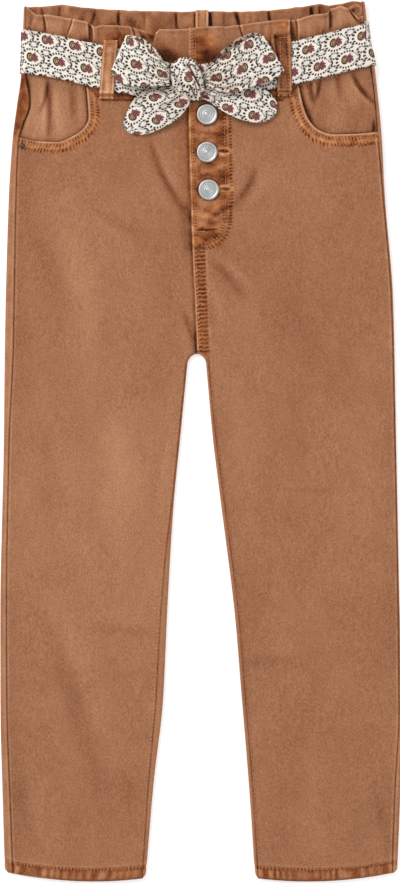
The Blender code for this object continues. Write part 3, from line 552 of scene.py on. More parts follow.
def ramp(position, *stops):
    node = add_node(position.tree, "ShaderNodeValToRGB", {"Fac": position})
    elements = node.color_ramp.elements
    while len(elements) < len(stops):
        elements.new(0.5)
    for element, (place, colour) in zip(elements, stops):
        element.position, element.color = place, colour
    return node.outputs["Color"]


def shades(position, colour, *strengths):
    """A ramp through three strengths of one colour."""
    colours = [(*(min(c * strength, 1) for c in colour[:3]), 1) for strength in strengths]
    return ramp(position, *zip((0.0, 0.5, 1.0), colours))


print("rust as the shader sees it", [round(c, 3) for c in srgb(170, 116, 84)[:3]])


# %% The twill material
WARM_DYE = (1.05, 0.8295, 0.546, 1.0)


def twill_material(name):
    soft = {"Specular IOR Level": 0.15, "Sheen Weight": 0.06}
    finish = plain_material(name, (0.4, 0.17, 0.09), 0.92, more=soft)
    tree = finish.node_tree
    yarn = grain(tree, 1100, 2, (1.0, 0.6, 1.0), math.radians(20))
    slub = grain(tree, 420, 3, (1.0, 0.35, 1.0))
    cloud = grain(tree, 34, 3)
    bars = stored(tree, "bars")
    phase = stored(tree, "phase") + grain(tree, 330, 1) * 0.7
    bar = (phase * (2 * math.pi)).math("SINE") * (grain(tree, 210, 1) * 1.4 + 0.85)
    inputs = {"Vector": own_place(tree), "Scale": 760, "Distortion": 2.0, "Detail": 1}
    rib = Field(add_node(tree, "ShaderNodeTexWave", inputs, bands_direction="DIAGONAL").outputs["Fac"]) - 0.5
    position = stored(tree, "tone") * 0.5 + 0.5 + yarn * 0.46 + slub * 0.14 + cloud * 0.06 + rib * 0.13
    # The tone's painted shade and highlights come through this ramp; the bars move it darker in each pucker
    # hollow and paler on its crest, as painted pucker shade.
    colour = ramp(
        position + bars * (bar * 0.25 - 0.04), (0.0, srgb(40, 17, 9)), (0.25, srgb(118, 68, 41)),
        (0.5, srgb(162, 110, 79)), (0.75, srgb(192, 141, 106)), (1.0, srgb(222, 180, 146)),
    )
    dyed = stored(tree, "rust").math("MAXIMUM", bars * (bar * -0.25 + 0.75))
    feed_shader(tree, {"Base Color": mixed(tree, dyed, colour, WARM_DYE, "MULTIPLY")})
    add_bump(rib * 0.6 + yarn * 1.2 + slub + bars * bar * 2.2, 0.35, 0.0002)
    return finish


TWILL = twill_material("washed twill")
print("twill nodes", len(TWILL.node_tree.nodes))

# %% [markdown]
# ## Printed cotton
# The belt is thin off-white cotton with a small all-over print: rows of little blooms, each in a dotted
# oval, with dashed ovals that touch like a net and a small bracket between neighbours. Every bloom is
# drawn by sums on two stored lengths, along the ribbon and across it. So the print bends, turns and
# folds with the cloth, just as real print does.

# %% The print material
MOTIF_ALONG, MOTIF_ACROSS, MOTIF_SHIFT = 20.6, 14.7, 8.6


def print_material(name):
    finish = plain_material(name, (0.8, 0.76, 0.7), 0.88, more={"Specular IOR Level": 0.1})
    tree = finish.node_tree
    along, across = stored(tree, "along"), stored(tree, "across")
    row = (across / MOTIF_ACROSS).math("ROUND")
    v = across - row * MOTIF_ACROSS
    slid = (along + row * MOTIF_SHIFT) / MOTIF_ALONG
    u = (slid - slid.math("ROUND")) * MOTIF_ALONG

    def oval(wide, high, centre=0.0):
        return ((u - centre) / wide).length(v / high)

    def line_at(shape, width, soft=0.3):
        return shape.math("ABSOLUTE").below(width, soft)

    def most(first, *others):
        for other in others:
            first = first.math("MAXIMUM", other)
        return first

    turn = v.math("ARCTAN2", u)
    bloom = v.math("ARCTAN2", u - 1.4)
    lobes = (bloom * 7.0).math("COSINE") * 0.35 + (bloom * 3.0).math("SINE") * 0.25
    lobes = lobes + (bloom * 13.0).math("SINE") * 0.3
    petals = ((u - 1.7).length(v * 0.88) + lobes).below(2.85, 0.35)
    dabs = ((u * 3.9 + v * 1.4).math("SINE") * (v * 4.1 - u * 1.1).math("SINE")).below(-0.28, 0.25)
    left = u.below(-0.5, 0.3)
    leaf = oval(2.5, 2.85, -1.5)
    midrib = line_at((oval(1.15, 1.6, -1.5) - 1.0) * 1.7, 0.42)
    leaf_lines = most(line_at((leaf - 1.0) * 3.0, 0.62), midrib) * left
    inside = oval(6.6, 5.2).below(1.0, 0.12)
    dots = (turn * 19.0).math("SINE").below(0.28, 0.4)
    ring = line_at((oval(7.7, 6.0) - 1.0) * 7.0, 0.86, 0.22) * dots * u.below(5.0, 0.4)
    slant = v.math("ABSOLUTE") * 0.95 + u - 9.4
    right = u.below(3.4, 0.3) * -1.0 + 1.0
    wings = line_at(slant + (v * 1.1).math("SINE").math("ABSOLUTE") * 0.6, 0.34) * right
    hook = line_at((u - 7.7).length(v) - 1.9, 0.56) * (u.below(8.2, 0.3) * -1.0 + 1.0)
    beside = u - u.math("SIGN") * (MOTIF_ALONG / 2) - v.math("SIGN") * 0.57
    level = v.math("ABSOLUTE") - MOTIF_ACROSS / 3
    cell = (beside / 3.2).length(level / 2.3)
    beads = (level.math("ARCTAN2", beside) * 8.0).math("SINE").below(0.2, 0.4)
    net = line_at((cell - 1.0) * 2.7, 0.76, 0.22) * (beads * 0.7 + 0.3)
    ink = most(ring, wings * 0.85, hook, net)
    colour = mixed(tree, inside, srgb(238, 234, 227), srgb(241, 234, 224))
    colour = mixed(tree, cell.below(0.9, 0.1) * 0.8, colour, srgb(226, 227, 222))
    shading = ramp(
        stored(tree, "tone") * 0.5 + 0.5, (0.0, srgb(96, 76, 64)), (0.25, srgb(176, 154, 136)),
        (0.5, srgb(250, 246, 242)), (1.0, srgb(255, 255, 255)),
    )
    veins = ((u * 3.4 - v * 2.2).math("SINE") * (v * 3.6 + u * 1.7).math("SINE") * -1.0).below(-0.3, 0.25)
    layers = (
        (leaf.below(1.0, 0.1) * left * 0.75, srgb(178, 136, 70)), (leaf_lines, srgb(50, 32, 18)),
        (petals, srgb(104, 38, 47)), (petals * dabs * 0.75, srgb(206, 160, 158)),
        (petals * veins * 0.7, srgb(48, 16, 18)), (ink.math("SQRT") * 0.3, srgb(150, 104, 66)),
        (ink * 0.98, srgb(34, 16, 4)),
    )
    for amount, dye in layers:
        colour = mixed(tree, amount, colour, dye)
    feed_shader(tree, {"Base Color": mixed(tree, 1.0, colour, shading, "MULTIPLY")})
    threads = (along * 7.0).math("SINE") * (across * 7.0).math("SINE")
    add_bump(threads + grain(tree, 1800) * 1.5, 0.22, 0.0001)
    return finish


PRINT = print_material("print cotton")
print("print nodes", len(PRINT.node_tree.nodes))


# %% [markdown]
# ## Making a wall of cloth
# Cloth has two faces and a rim. So a piece is made from two matching grids of points, its outer face
# and its inner one, joined round every edge by a rim that is pushed out a little. That rounds the cut
# or folded edges, as turned cloth is. A grid may have points missing, and there the cloth ends.


# %% A closed, round-rimmed wall from two grids
def grid_normals(points):
    across = np.gradient(points, axis=1)
    along = np.gradient(points, axis=0)
    normal = np.cross(across, along)
    return normal / np.maximum(np.linalg.norm(normal, axis=2, keepdims=True), 1e-9)


def wall_faces(rows, columns, present):
    i, j = np.meshgrid(np.arange(rows - 1), np.arange(columns - 1), indexing="ij")
    whole = present[:-1, :-1] & present[1:, :-1] & present[:-1, 1:] & present[1:, 1:]
    first = (i * columns + j)[whole]
    return np.stack([first, first + 1, first + columns + 1, first + columns], axis=1)


def rim_edges(quads, count):
    """The edges that only one quad has, each with the number of that quad."""
    starts = quads.T.ravel()
    ends = np.roll(quads, -1, axis=1).T.ravel()
    owner = np.tile(np.arange(len(quads)), 4)
    lone = ~np.isin(starts * count + ends, ends * count + starts)
    return starts[lone], ends[lone], owner[lone]


def store(mesh, key, values):
    mesh.attributes.new(key, "FLOAT", "POINT").data.foreach_set("value", values.astype(np.float32))


def finished(mesh, finish):
    mesh.materials.append(finish)
    mesh.shade_smooth()
    return add_object(mesh.name, mesh)


def upward(heights):
    """Moves straight up by these heights."""
    return heights[..., None] * [0, 0, 1]


def cloth_piece(name, finish, outer, inner, stored_values, present=None):
    """The finished object. stored_values holds a pair of grids for each attribute: outer, inner."""
    rows, columns = outer.shape[:2]
    count = rows * columns
    present = np.ones((rows, columns), bool) if present is None else present
    quads = wall_faces(rows, columns, present)
    front, back = outer.reshape(-1, 3), inner.reshape(-1, 3)
    corner = front[quads]
    facing = np.cross(corner[:, 1] - corner[:, 0], corner[:, 3] - corner[:, 0])
    if np.sum(facing * (corner - back[quads]).mean(axis=1)) < 0:
        quads = quads[:, ::-1]
        corner = front[quads]
    a, b, owner = rim_edges(quads, count)
    middle = (front + back) / 2
    push = np.zeros((count, 3))
    outward = (front[a] + front[b]) / 2 - corner[owner].mean(axis=1)
    np.add.at(push, a, outward)
    np.add.at(push, b, outward)
    rim = np.unique(a)
    push = push[rim] / np.maximum(np.linalg.norm(push[rim], axis=1, keepdims=True), 1e-9)
    thickness = np.linalg.norm(front[rim] - back[rim], axis=1, keepdims=True)
    ring = np.zeros(count, int)
    ring[rim] = 2 * count + np.arange(len(rim))
    points = np.concatenate([front, back, middle[rim] + push * thickness * 0.4])
    faces = np.concatenate([
        quads,
        quads[:, ::-1] + count,
        np.stack([b, a, ring[a], ring[b]], axis=1),
        np.stack([ring[b], ring[a], a + count, b + count], axis=1),
    ])
    used = np.zeros(len(points), bool)
    used[faces.ravel()] = True
    renumber = np.cumsum(used) - 1
    mesh = bpy.data.meshes.new(name)
    mesh.from_pydata((points[used] * MM).tolist(), [], renumber[faces].tolist())
    for key, (first, second) in stored_values.items():
        first, second = (np.broadcast_to(g, (rows, columns)).ravel() for g in (first, second))
        store(mesh, key, np.concatenate([first, second, first[rim]])[used])
    return finished(mesh, finish)


# %% Declaring a piece of cloth: what it replaces, and its cut
def cloth_area(piece):
    return sum(face.area for face in piece.data.polygons) / 2


def declare(piece, node, flat=None, share=1.0):
    """flat is the cut's width and length in millimetres, and share how much of that rectangle it is."""
    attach(piece, "root")
    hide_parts(node)
    if flat:
        width, length = flat[0] * MM, flat[1] * MM
        area = share * width * length
        print(piece.name, "surface", round(cloth_area(piece) / area, 2), "of its cut")
    tally[piece.name] = sum(len(face.vertices) - 2 for face in piece.data.polygons)


tally = {}
print("wall builder ready")

# %% [markdown]
# ## Seams and what they do to the cloth
# A stitched seam shrinks a little in the wash, so the cloth beside it puckers, and the tops of the
# puckers fade while the hollows keep their rust. The bars also paint the shade in the pucker hollows.
# Each seam below is a path on the cloth. A band of uneven bars runs along it, with a groove where the
# needle row lies. The same paths carry the stitches later on.

# %% Paths of the seams, and the folds of the fronts
# In every table of folds, tone is painted shade (below 0) or a painted highlight (above 0) along the fold,
# and lean moves it to one side.
FRONT_FOLDS = "x1 y1 x2 y2 bend width lift tone lean"
PANEL_FOLDS = both(FRONT_FOLDS, right="""
-40 229 -8 166 -4.5 2.4 -0.8 -0.5 0.3; -36 230 -4 172 -5 3.2 0.5 0.14; -47 226 -16 163 -5 4 0.35 0.08;
-88 182 -36 153 -5 3.6 -0.35 -0.1; -84 174 -40 147 -5 3.5 0.3 0.08; -64 160 -24 141 -3 3.5 -0.2 -0.07;
-15 98 -5 64 2 2.6 -0.5 -0.4; -132 168 -108 92 5 9 -0.2 -0.09; -112 190 -84 60 5 12 0.3 0.14;
-126 -118 -76 -276 6 8 -0.45 -0.15; -112 -120 -62 -262 6 9 0.35 0.08; -86 -142 -30 -146 2 4 -0.35 -0.1;
-86 -133 -36 -135 2 5 0.25 0.05; -70 30 -58 -60 3 12 0.3 0.14; -120 20 -112 -70 0 10 -0.25 -0.12;
-60 -236 -48 -300 0 7 -0.2 -0.1; -22 40 -34 -60 0 5 0.2 0.1; -136 -250 -120 -312 -4 4 -0.3 -0.1;
-24 20 -38 -60 -2 3 -0.2 -0.1; -60 222 -66 196 0 3 -0.2 -0.06; -92 -40 -60 -96 -4 7 -0.25 -0.07
""", left="""
41 207 22 176 3 2.4 -0.7 -0.42; 48 203 30 172 3 3 0.4 0.1; 24 178 3 164 -0.5 1.4 -0.7 -0.62;
21 181 0 167 -0.5 1.7 0.5 0.34; 4 137 32 104 3 3.2 -0.6 -0.28; 10 139 38 110 3 3 0.5 0.14;
2 126 16 86 3 3 0.4 0.14; -2 118 8 84 2 2.2 -0.4 -0.2; 58 -36 93 -36 0 1.6 -0.25 -0.1;
60 -33 90 -33 0 1.8 0.15 0.05; 30 -167 76 -168 3 4 -0.3 -0.12; 34 -158 80 -160 3 5 0.3 0.06;
66 36 72 14 0 3 -0.2 -0.08; 100 40 118 20 0 3.5 -0.2 -0.06; 60 -52 70 -66 0 3 -0.2 -0.09;
96 30 92 -120 4 12 0.25 0.07; 70 196 96 120 6 13 0.25 0.05; 44 120 88 60 5 7 -0.2 -0.07;
110 -150 60 -250 -4 9 -0.3 -0.06; 120 -140 76 -240 -4 9 0.3 0.05; 128 -262 140 -312 3 4 -0.3 -0.1;
40 96 70 76 2 3.5 -0.2 -0.08; 52 236 60 214 0 3 -0.2 -0.05; 24 60 30 -30 0 5 0.15 0.04
""")
FLY_ROWS, SCOOP_ROWS = (-3.7, 0.7), {RIGHT: (2.6, 6.8), LEFT: (3.3, 8.2)}
FLY_CURVE = [
    (20.2, 251), (21, 211.1), (21.4, 181.1), (20.2, 163.1), (17.2, 154.1), (11.2, 148.1), (1.5, 144.4),
]


def smooth_path(path, step=1.0):
    """A path through the same points, rounded and evenly stepped."""
    run = path_length(path)
    t = np.linspace(0, run[-1], max(int(run[-1] / step), 2) + 1)
    return np.stack([through(run, values)(t) for values in zip(*path)], axis=1)


def beside(path, distance):
    """The path moved sideways, to its left as it runs for a positive distance."""
    way = np.gradient(np.asarray(path, float), axis=0)
    way /= np.linalg.norm(way, axis=1, keepdims=True)
    return np.asarray(path) + distance * np.stack([-way[:, 1], way[:, 0]], axis=1)


def along_y(curve, start, end, shift=0.0, step=2.0):
    y = np.linspace(start, end, int(abs(start - end) / step) + 2)
    return np.stack([curve(y) + shift, y], axis=1)


def along_seam(rows, start, end, count):
    x = np.linspace(start, end, count)
    return np.stack([x, straight(rows, x)], axis=1)


SCOOP_EDGE = {s: smooth_path([(p.x, p.y) for p in SCOOP[s]]) for s in SIDES}
print("pocket openings", [round(path_length(SCOOP_EDGE[s])[-1]) for s in SIDES], "mm along their edges")


# %% The turned hems
CORNER = 4.0
HEM_LINE, HEM_SLOPE, HEM_SAG = -322.5, 4.1, 16.4
HEM_NEEDLE = 7.9


def hem_bottom(side, x):
    """Height of the leg's lower edge at a place across it."""
    start, end = edge_at[side](-322.0), inner_edge_at[side](-325.0)
    t = np.clip((x - start) / (end - start), 0, 1)
    return HEM_LINE - HEM_SLOPE * t - HEM_SAG * t * (1 - t)


def add_hem(skin, side, seed):
    """The turned hem: slanting ropes of cloth under its needle row, dark between them with rust and
    painted shade.
    """
    above = skin.y - hem_bottom(side, skin.x)
    here = (above < 14) & (skin.y < -280)
    s, x = above[here], skin.x[here]
    band = ease(0.0, 1.0, s) * (1 - ease(6.4, 7.6, s))
    lean = x + 0.15 * side * s + 8 * waver(x, 17, seed)
    rope = np.clip(1.7 * np.sin(2 * math.pi * lean / 7.4), -1, 1) * (0.7 + 0.5 * waver(x, 13, seed + 1))
    rope = rope + 0.5 * noise(x, s, (3.4, 4.0), seed + 2) + 0.3 * noise(x, s, (1.5, 2.0), seed + 3)
    groove = bump(s - HEM_NEEDLE, 1.1)
    skin.lift[here] += 0.3 * rope * band - 0.45 * groove
    # The ropes are paler on their crests and darker between them: fading and rust, and painted shade.
    mottled = band * (0.3 * rope * (1 + 0.7 * waver(x, 24, seed + 7)) - 0.07)
    skin.tone[here] += mottled - 0.42 * groove + 0.22 * bump(s - 10.2, 0.9) - 0.35 * bump(s, 0.5)
    dyed = np.maximum(band * np.clip(0.6 - 0.5 * rope, 0, 1), 0.9 * groove)
    skin.rust[here] = np.maximum(skin.rust[here], dyed)
    skin.bars[here] = 0.75 * bump(s - HEM_NEEDLE, 1.3) * (0.8 + 0.5 * waver(x, 11, seed + 4))
    skin.phase[here] = (x + 1.5 * waver(x, 9, seed + 5)) / 2.7


print("hem bottom at mid leg", hem_bottom(RIGHT, np.array([-95.0])).round(1))


# %% All that happens to a front panel's surface
def fly_mask(x, y):
    """1 on the left front between its edge and the curved double row of the fly."""
    across, up = zip(*FLY_CURVE)
    line = through(up, across)(y)
    return (1 - ease(line - 0.5, line + 2.5, x)) * ease(143, 149, y) * (1 - ease(250, 254, y))


FLY_LINE = smooth_path(FLY_CURVE)
FLY_FOLDS = table(FRONT_FOLDS, """
-6 157.2 13 158 1.2 1.3 -0.5 -0.7; -6 159.6 13 160.8 1.2 1.2 0.4 0.35; -7 203 20 199 -2 1.5 -0.3 -0.35;
-8 231 20 229 1 1.6 -0.3 -0.4; 10 236 21 232 0 1.5 -0.3 -0.35; -8 180 12 171 -2 1.6 -0.4 -0.4;
-4 154 8 149 0 1.5 -0.3 -0.4; -8 212 0 208 0 1.6 0.3 0.3; 10 205 20 207 0 1.8 0.3 0.3;
6 173 20 181 1 2 0.4 0.35; -7 168 8 168 1 2 0.4 0.35
""")
# A path of painted shade beside the fly, on the right front.
FLY_STRAIN_SHADE = np.array([(-12.0, 181.0), (-12.5, 160.0), (-11.0, 146.0)])
BUTTONS = {"button_top": (3.8, 244.6), "button_middle": (3.8, 216.4), "button_bottom": (5.0, 188.3)}
BUTTONHOLES = ((16.2, 217.4), (17.2, 188.9))
WAIST_SEAM = along_seam(FRONT_SEAM, -137, 134, 180)


def finish_fly(skin):
    """The left front's fly: mottled between its edge and its curved rows, with bars along every row."""
    x, y = skin.x, skin.y
    fly = fly_mask(x, y)
    mottle = noise(x, y, (7.5, 4.4), 41) + 0.5 * noise(x, y, (2.4, 1.8), 42)
    skin.tone += fly * (0.4 * mottle - 0.14)
    skin.lift += fly * 0.16 * mottle
    skin.stain(fly * np.clip(0.75 - 0.5 * mottle, 0, 1))
    skin.folds(FLY_FOLDS)
    edge, ladder = along_y(fly_at, 256, 62), along_y(fly_at, 146, 66)
    # A pale line along the fly's folded edge: wear, and a painted highlight.
    skin.line(edge, 0.7, 0.55, 0.75, 0.1, ragged=0.15)
    skin.puckers(along_y(fly_at, 254, 147), 1.6, 3.4, 2.2, 0.3, 0.95, 43)
    for row, seed in ((FLY_ROWS[0], 44), (FLY_ROWS[1], 47)):
        skin.puckers(FLY_LINE, row - 1.0, row + 1.0, 2.5, 0.2, 1.2, seed)
        skin.line(FLY_LINE, row, 1.0, -0.26, ragged=0.6, seed=48)
    skin.line(FLY_LINE, sum(FLY_ROWS) / 2, 0.6, 0.22, 0.1, ragged=0.5, seed=49)
    foot = ease(142, 147, y) * (1 - ease(154, 157, y)) * (1 - ease(13, 17, x))
    skin.tone -= 0.22 * foot
    skin.stain(0.95 * foot)
    below = ease(0, 1, x - fly_at(y)) * (1 - ease(8.6, 10, x - fly_at(y))) * (1 - ease(144, 148, y))
    skin.stain(0.75 * below)
    skin.tone -= 0.27 * below
    skin.puckers(ladder, 1.0, 4.4, 3.1, 0.35, 1.1, 45)
    skin.puckers(ladder, 4.8, 8.9, 3.1, 0.15, 1.1, 45)
    skin.line(ladder, 9.6, 0.7, 0.2, ragged=0.6)
    # A painted shadow ring on the cloth round each button.
    for bx, by in BUTTONS.values():
        skin.tone -= 0.55 * bump(np.hypot(x - bx, y - by) - 7.9, 0.8)
    for hx, hy in BUTTONHOLES:
        ring = np.hypot((x - hx) / 5.2, (y - hy) / 2.5)
        # A pale ring of thread round each buttonhole, and painted shade in its slit.
        skin.tone += 0.95 * bump(ring - 1, 0.32) - 1.1 * bump(y - hy, 1.15) * (np.abs(x - hx) < 4.0)
        skin.lift += 0.25 * bump(ring - 1, 0.3)
        skin.bars *= ease(0.9, 1.6, ring)


def front_skin(side, x, y):
    """The skin of a front panel at each place."""
    skin = Skin(x, y)
    seed = 11 if side == RIGHT else 12
    skin.tone += 0.06 * noise(x, y, (30, 70), seed) + 0.04 * noise(x, y, (12, 20), seed + 20)
    skin.tone += 0.02 * noise(x, y, (4, 6), seed + 22)
    skin.tone += 0.14 * bump(y + 55, 70) - 0.03 if side == RIGHT else 0.02 * bump(y - 20, 110) - 0.05
    skin.tone -= (0.11 if side == RIGHT else 0.02) * bump(x - edge_at[side](y), 18)
    skin.lift += 0.16 * noise(x, y, (34, 52), seed + 1) + 0.05 * noise(x, y, (9, 14), seed + 2)
    skin.folds(PANEL_FOLDS[side])
    outseam = along_y(seam_at[side], 228, -326)
    skin.line(outseam, -side * 0.1, 0.45, -0.55, ragged=0.25)
    skin.line(outseam, -side * 1.5, 0.6, 0.24, 0.1, seed=seed)
    inseam = along_y(inner_seam_at[side], 56, -326)
    skin.line(inseam, side * 0.2, 0.5, -0.4, seed=seed + 4)
    skin.puckers(inseam, side * 0.6, side * 2.6, 3.4, 0.3, 0.18, seed + 3)
    scoop = SCOOP_EDGE[side]
    # A pale line along the scoop's folded edge: wear, and a painted highlight.
    skin.line(scoop, side * 0.6, 0.5, 0.75, 0.1, ragged=0.15, seed=seed + 5)
    inner, outer = SCOOP_ROWS[side]
    away = side * nearest(scoop, x, y)[2]
    band = ease(1.4, 2.4, away) * (1 - ease(outer + 0.8, outer + 2.0, away))
    skin.stain(0.75 * band)
    skin.tone += band * (0.42 * noise(x, y, (3.2, 3.2), seed + 9) + 0.12 - 0.1 * (side == LEFT))
    skin.puckers(scoop, side * (inner - 1.0), side * (inner + 1.0), 2.3, side * 0.3, 1.05, seed + 6)
    skin.puckers(scoop, side * (outer - 1.3), side * (outer + 1.1), 2.3, side * 0.3, 1.3, seed + 8)
    for row, width, depth in ((inner, 0.7, -0.22), (0.5 * (inner + outer), 0.9, 0.34), (outer, 1.0, -0.2)):
        skin.line(scoop, side * row, width, depth, 0.3 * depth, seed=seed + 10)
    skin.line(WAIST_SEAM, -0.3, 0.6, -0.4, ragged=0.5, seed=seed + 11)
    skin.puckers(WAIST_SEAM, -5.0, -1.2, 4.2, 0.2, 0.2, seed + 12)
    if side == LEFT:
        finish_fly(skin)
    else:
        # Painted shadow beside the left front's lapped edge, stronger low down and near the bar tack, then a
        # painted shade line along the strain beside the fly.
        skin.line(along_y(fly_at, 256, 62), -1.0, 1.2, -0.42, ragged=0.4)
        near = bump(x - fly_at(y), 9) * ease(150, 200, y)
        skin.tone -= 0.12 * near
        skin.stain(0.35 * near)
        skin.tone -= 0.4 * bump(x - fly_at(y) + 0.6, 1.3) * (bump(y - 72, 12) + 0.8 * bump(y - 146, 12))
        skin.line(FLY_STRAIN_SHADE, 0, 4.0, -0.22, ragged=0.4)
    add_hem(skin, side, seed + 30)
    return skin


def laid_on(side, path, sink=0.05, skin_of=front_skin):
    """A path laid on the finished surface of a front piece, and sunk into it a little."""
    path = np.asarray(path, float)
    x, y = path.T
    return np.column_stack([path, form_height(side, x, y) + skin_of(side, x, y).lift - sink])


def form_normal(side, x, y, step=0.25):
    dx = (form_height(side, x + step, y) - form_height(side, x - step, y)) / (2 * step)
    dy = (form_height(side, x, y + step) - form_height(side, x, y - step)) / (2 * step)
    normal = np.stack([-dx, -dy, np.ones_like(dx)], axis=-1)
    return normal / np.linalg.norm(normal, axis=-1, keepdims=True)


def form_face(side, x, y):
    """The form's points at a grid of places, and the directions in which it faces there."""
    return np.dstack([x, y, form_height(side, x, y)]), form_normal(side, x, y)


def wall_at(y):
    return CLOTH + (HEM_WALL - CLOTH) * ease(312, 321, -y)


print("a point on the left front", laid_on(LEFT, [(30, 100)]).round(2))

# %% [markdown]
# ## The front panels
# Each front is cut with a curved scoop for the pocket, and runs from the waist seam to the hem. Its
# rows start at the pocket's edge or the outseam, and end at the fly, the arch or the inseam. The
# columns stand closest near both ends, where edges and seams need the finest detail. The left front
# laps over the right.


# %% Rows of a front panel
def graded(length, count, fine):
    """Stations from 0 to a length, fine at both ends."""
    near = np.cumsum(np.concatenate([[0], fine]))
    inside = np.linspace(near[-1], length - near[-1], count - 2 * len(near) + 2)
    return np.concatenate([near[:-1], inside, length - near[-2::-1]])


def fine_rows(outer_y, inner_y, spacing, scoop=0):
    """The coarse rows' numbers, and between them the stations of the fine rows. Rows on the scoop
    count as at least 12 mm apart."""
    gaps = np.maximum(np.abs(np.diff(outer_y)), np.abs(np.diff(inner_y)))
    gaps[:scoop] = np.maximum(gaps[:scoop], 12)
    parts = [np.linspace(i, i + 1, max(int(g / spacing), 2), endpoint=False) for i, g in enumerate(gaps)]
    return np.arange(len(outer_y)), np.append(np.concatenate(parts), len(gaps))


def panel_stations(side, spacing):
    """Where each fine row starts and ends: two (rows, 2) lists of places, and each row's dip."""
    tops, last = SCOOP[side][::-1], len(SCOOP[side]) - 1
    angles = [a[0] for a in ARCH_ROWS]
    outer_y = [p.y for p in tops] + [*SEAT_ROWS] + [a[1] for a in ARCH_ROWS] + [r.outer for r in LEG_ROWS]
    inner_y = [p.fly_y for p in tops] + [196 - 8, 172 - 8, *SEAT_ROWS[2:]]
    first_arch = len(inner_y)
    last_arch = first_arch + len(angles) - 1
    inner_y = inner_y + [arch_point(side, a)[1] for a in angles] + [r.inner for r in LEG_ROWS]
    bows = [0] * (last_arch + 1) + [r.bow for r in LEG_ROWS]
    stations, u = fine_rows(outer_y, inner_y, spacing, last)
    y_out, y_in = np.interp(u, stations, outer_y), np.interp(u, stations, inner_y)
    starts = [seam_at[side](y_out) - side * HALF_GAP, y_out]
    for n, key in enumerate("xy"):
        scoop = through(range(len(tops)), [getattr(p, key) for p in tops])
        starts[n] = np.where(u < last, scoop(np.minimum(u, last)), starts[n])
    x_in = fly_at(y_in) + side * HALF_GAP
    if side == RIGHT:
        x_in = x_in + (LAP + HALF_GAP) * ease(128, 172, y_in)
    turn = np.interp(u, stations[first_arch : last_arch + 1], angles)
    spot_x, spot_y = arch_point(side, turn)
    face = arch_face(side, turn)
    reach = np.abs(inner_seam_at[side](spot_y) - inner_edge_at[side](spot_y)) + HALF_GAP
    arch_x = spot_x - face[:, 0] * reach + np.where(turn == 0, side * HALF_GAP, 0)
    leg_x = inner_seam_at[side](y_in) + side * HALF_GAP
    x_in = np.where(u >= last_arch, leg_x, np.where(u >= first_arch, arch_x, x_in))
    y_in = np.where((u >= first_arch) & (u < last_arch), spot_y - face[:, 1] * reach, y_in)
    return u, np.stack(starts, axis=1), np.stack([x_in, y_in], axis=1), np.interp(u, stations, bows)


FINE = [0.25, 0.3, 0.35, 0.4, 0.5, 0.6, 0.7, 0.8, 0.9, 1.0, 1.1, 1.2]
FRONT_SPACING, FRONT_COLUMNS = 1.8, 104


def panel_plan(side, spacing, columns):
    """Plan places of a front panel's fine grid."""
    u, start, end, bow = panel_stations(side, spacing)
    longest = np.linalg.norm(end - start, axis=1)
    t = np.stack([graded(length, columns, FINE) / length for length in longest])
    x = start[:, :1] + (end[:, :1] - start[:, :1]) * t
    y = start[:, 1:] + (end[:, 1:] - start[:, 1:]) * t
    level = start[0, 1] + (end[0, 1] - start[0, 1]) * t[0]
    sag = np.clip(1 - u / 2, 0, 1)[:, None] * (straight(FRONT_SEAM, x[0]) - GAP - level)[None]
    return x, y + sag - bow[:, None] * 4 * t * (1 - t)


def front_panel(side, name):
    x, y = panel_plan(side, FRONT_SPACING, FRONT_COLUMNS)
    skin = front_skin(side, x, y)
    base, normal = form_face(side, x, y)
    up = upward(skin.lift)
    inner = base + 0.7 * up - normal * wall_at(y)[..., None]
    return cloth_piece(name, TWILL, base + up, inner, skin.values(-0.25))


for side, name in SIDES.items():
    panel = front_panel(side, f"front_{name}_cloth")
    rests = [f"back_{name}_cloth", f"hip_{name}_cloth"]
    declare(panel, f"front_panel_{name}", (158, 585), 0.78)
print(tally)

# %% [markdown]
# ## The hip cloth in the pocket openings
# Behind each scoop lies a separate shaped piece, the side of the hip. It carries the gathers that the
# drawn-in waist makes just below the belt, so it gets short soft folds that fade out downwards.

# %% The hip pieces
HIP_DEPTH = CLOTH + 2 * GAP + 0.2
POCKET_ROWS = table("y waist", "255 1; 247 0.75; 236 0.4; 226 0.15; 214")
HIP_FOLDS = both(FRONT_FOLDS, right="""
-115 272 -115.5 223 1 2.2 -0.9 -0.5; -121 270 -119 226 2 3 0.9 0.3; -108 268 -106 226 -2 4 0.8 0.24;
-116 271 -122 246 2 1.5 -0.7 -0.6; -98 268 -97 240 0 2.2 -0.5 -0.25; -130 276 -133 242 1 2 -0.6 -0.45;
-92 266 -91 240 1 2.4 0.5 0.12; -127 260 -132 232 0 2.5 0.6 0.18
""", left="""
80 270 84 252 0 1.8 -0.9 -0.5; 88 272 85 256 1 1.5 -0.8 -0.55; 84 272 84.5 258 0 1.4 0.9 0.25;
112 276 131 252 -2 1.8 -0.8 -0.55; 110 274 128 251 -2 1.4 0.8 0.3; 106 279 120 250 -2 4 0.6 0.14;
96 276 99 252 0 3 0.6 0.14; 76 268 80 240 1 2.4 0.3 0.1; 101 277 104 256 0 1.8 -0.5 -0.25;
125 285 130 270 0 1.6 -0.5 -0.3
""")


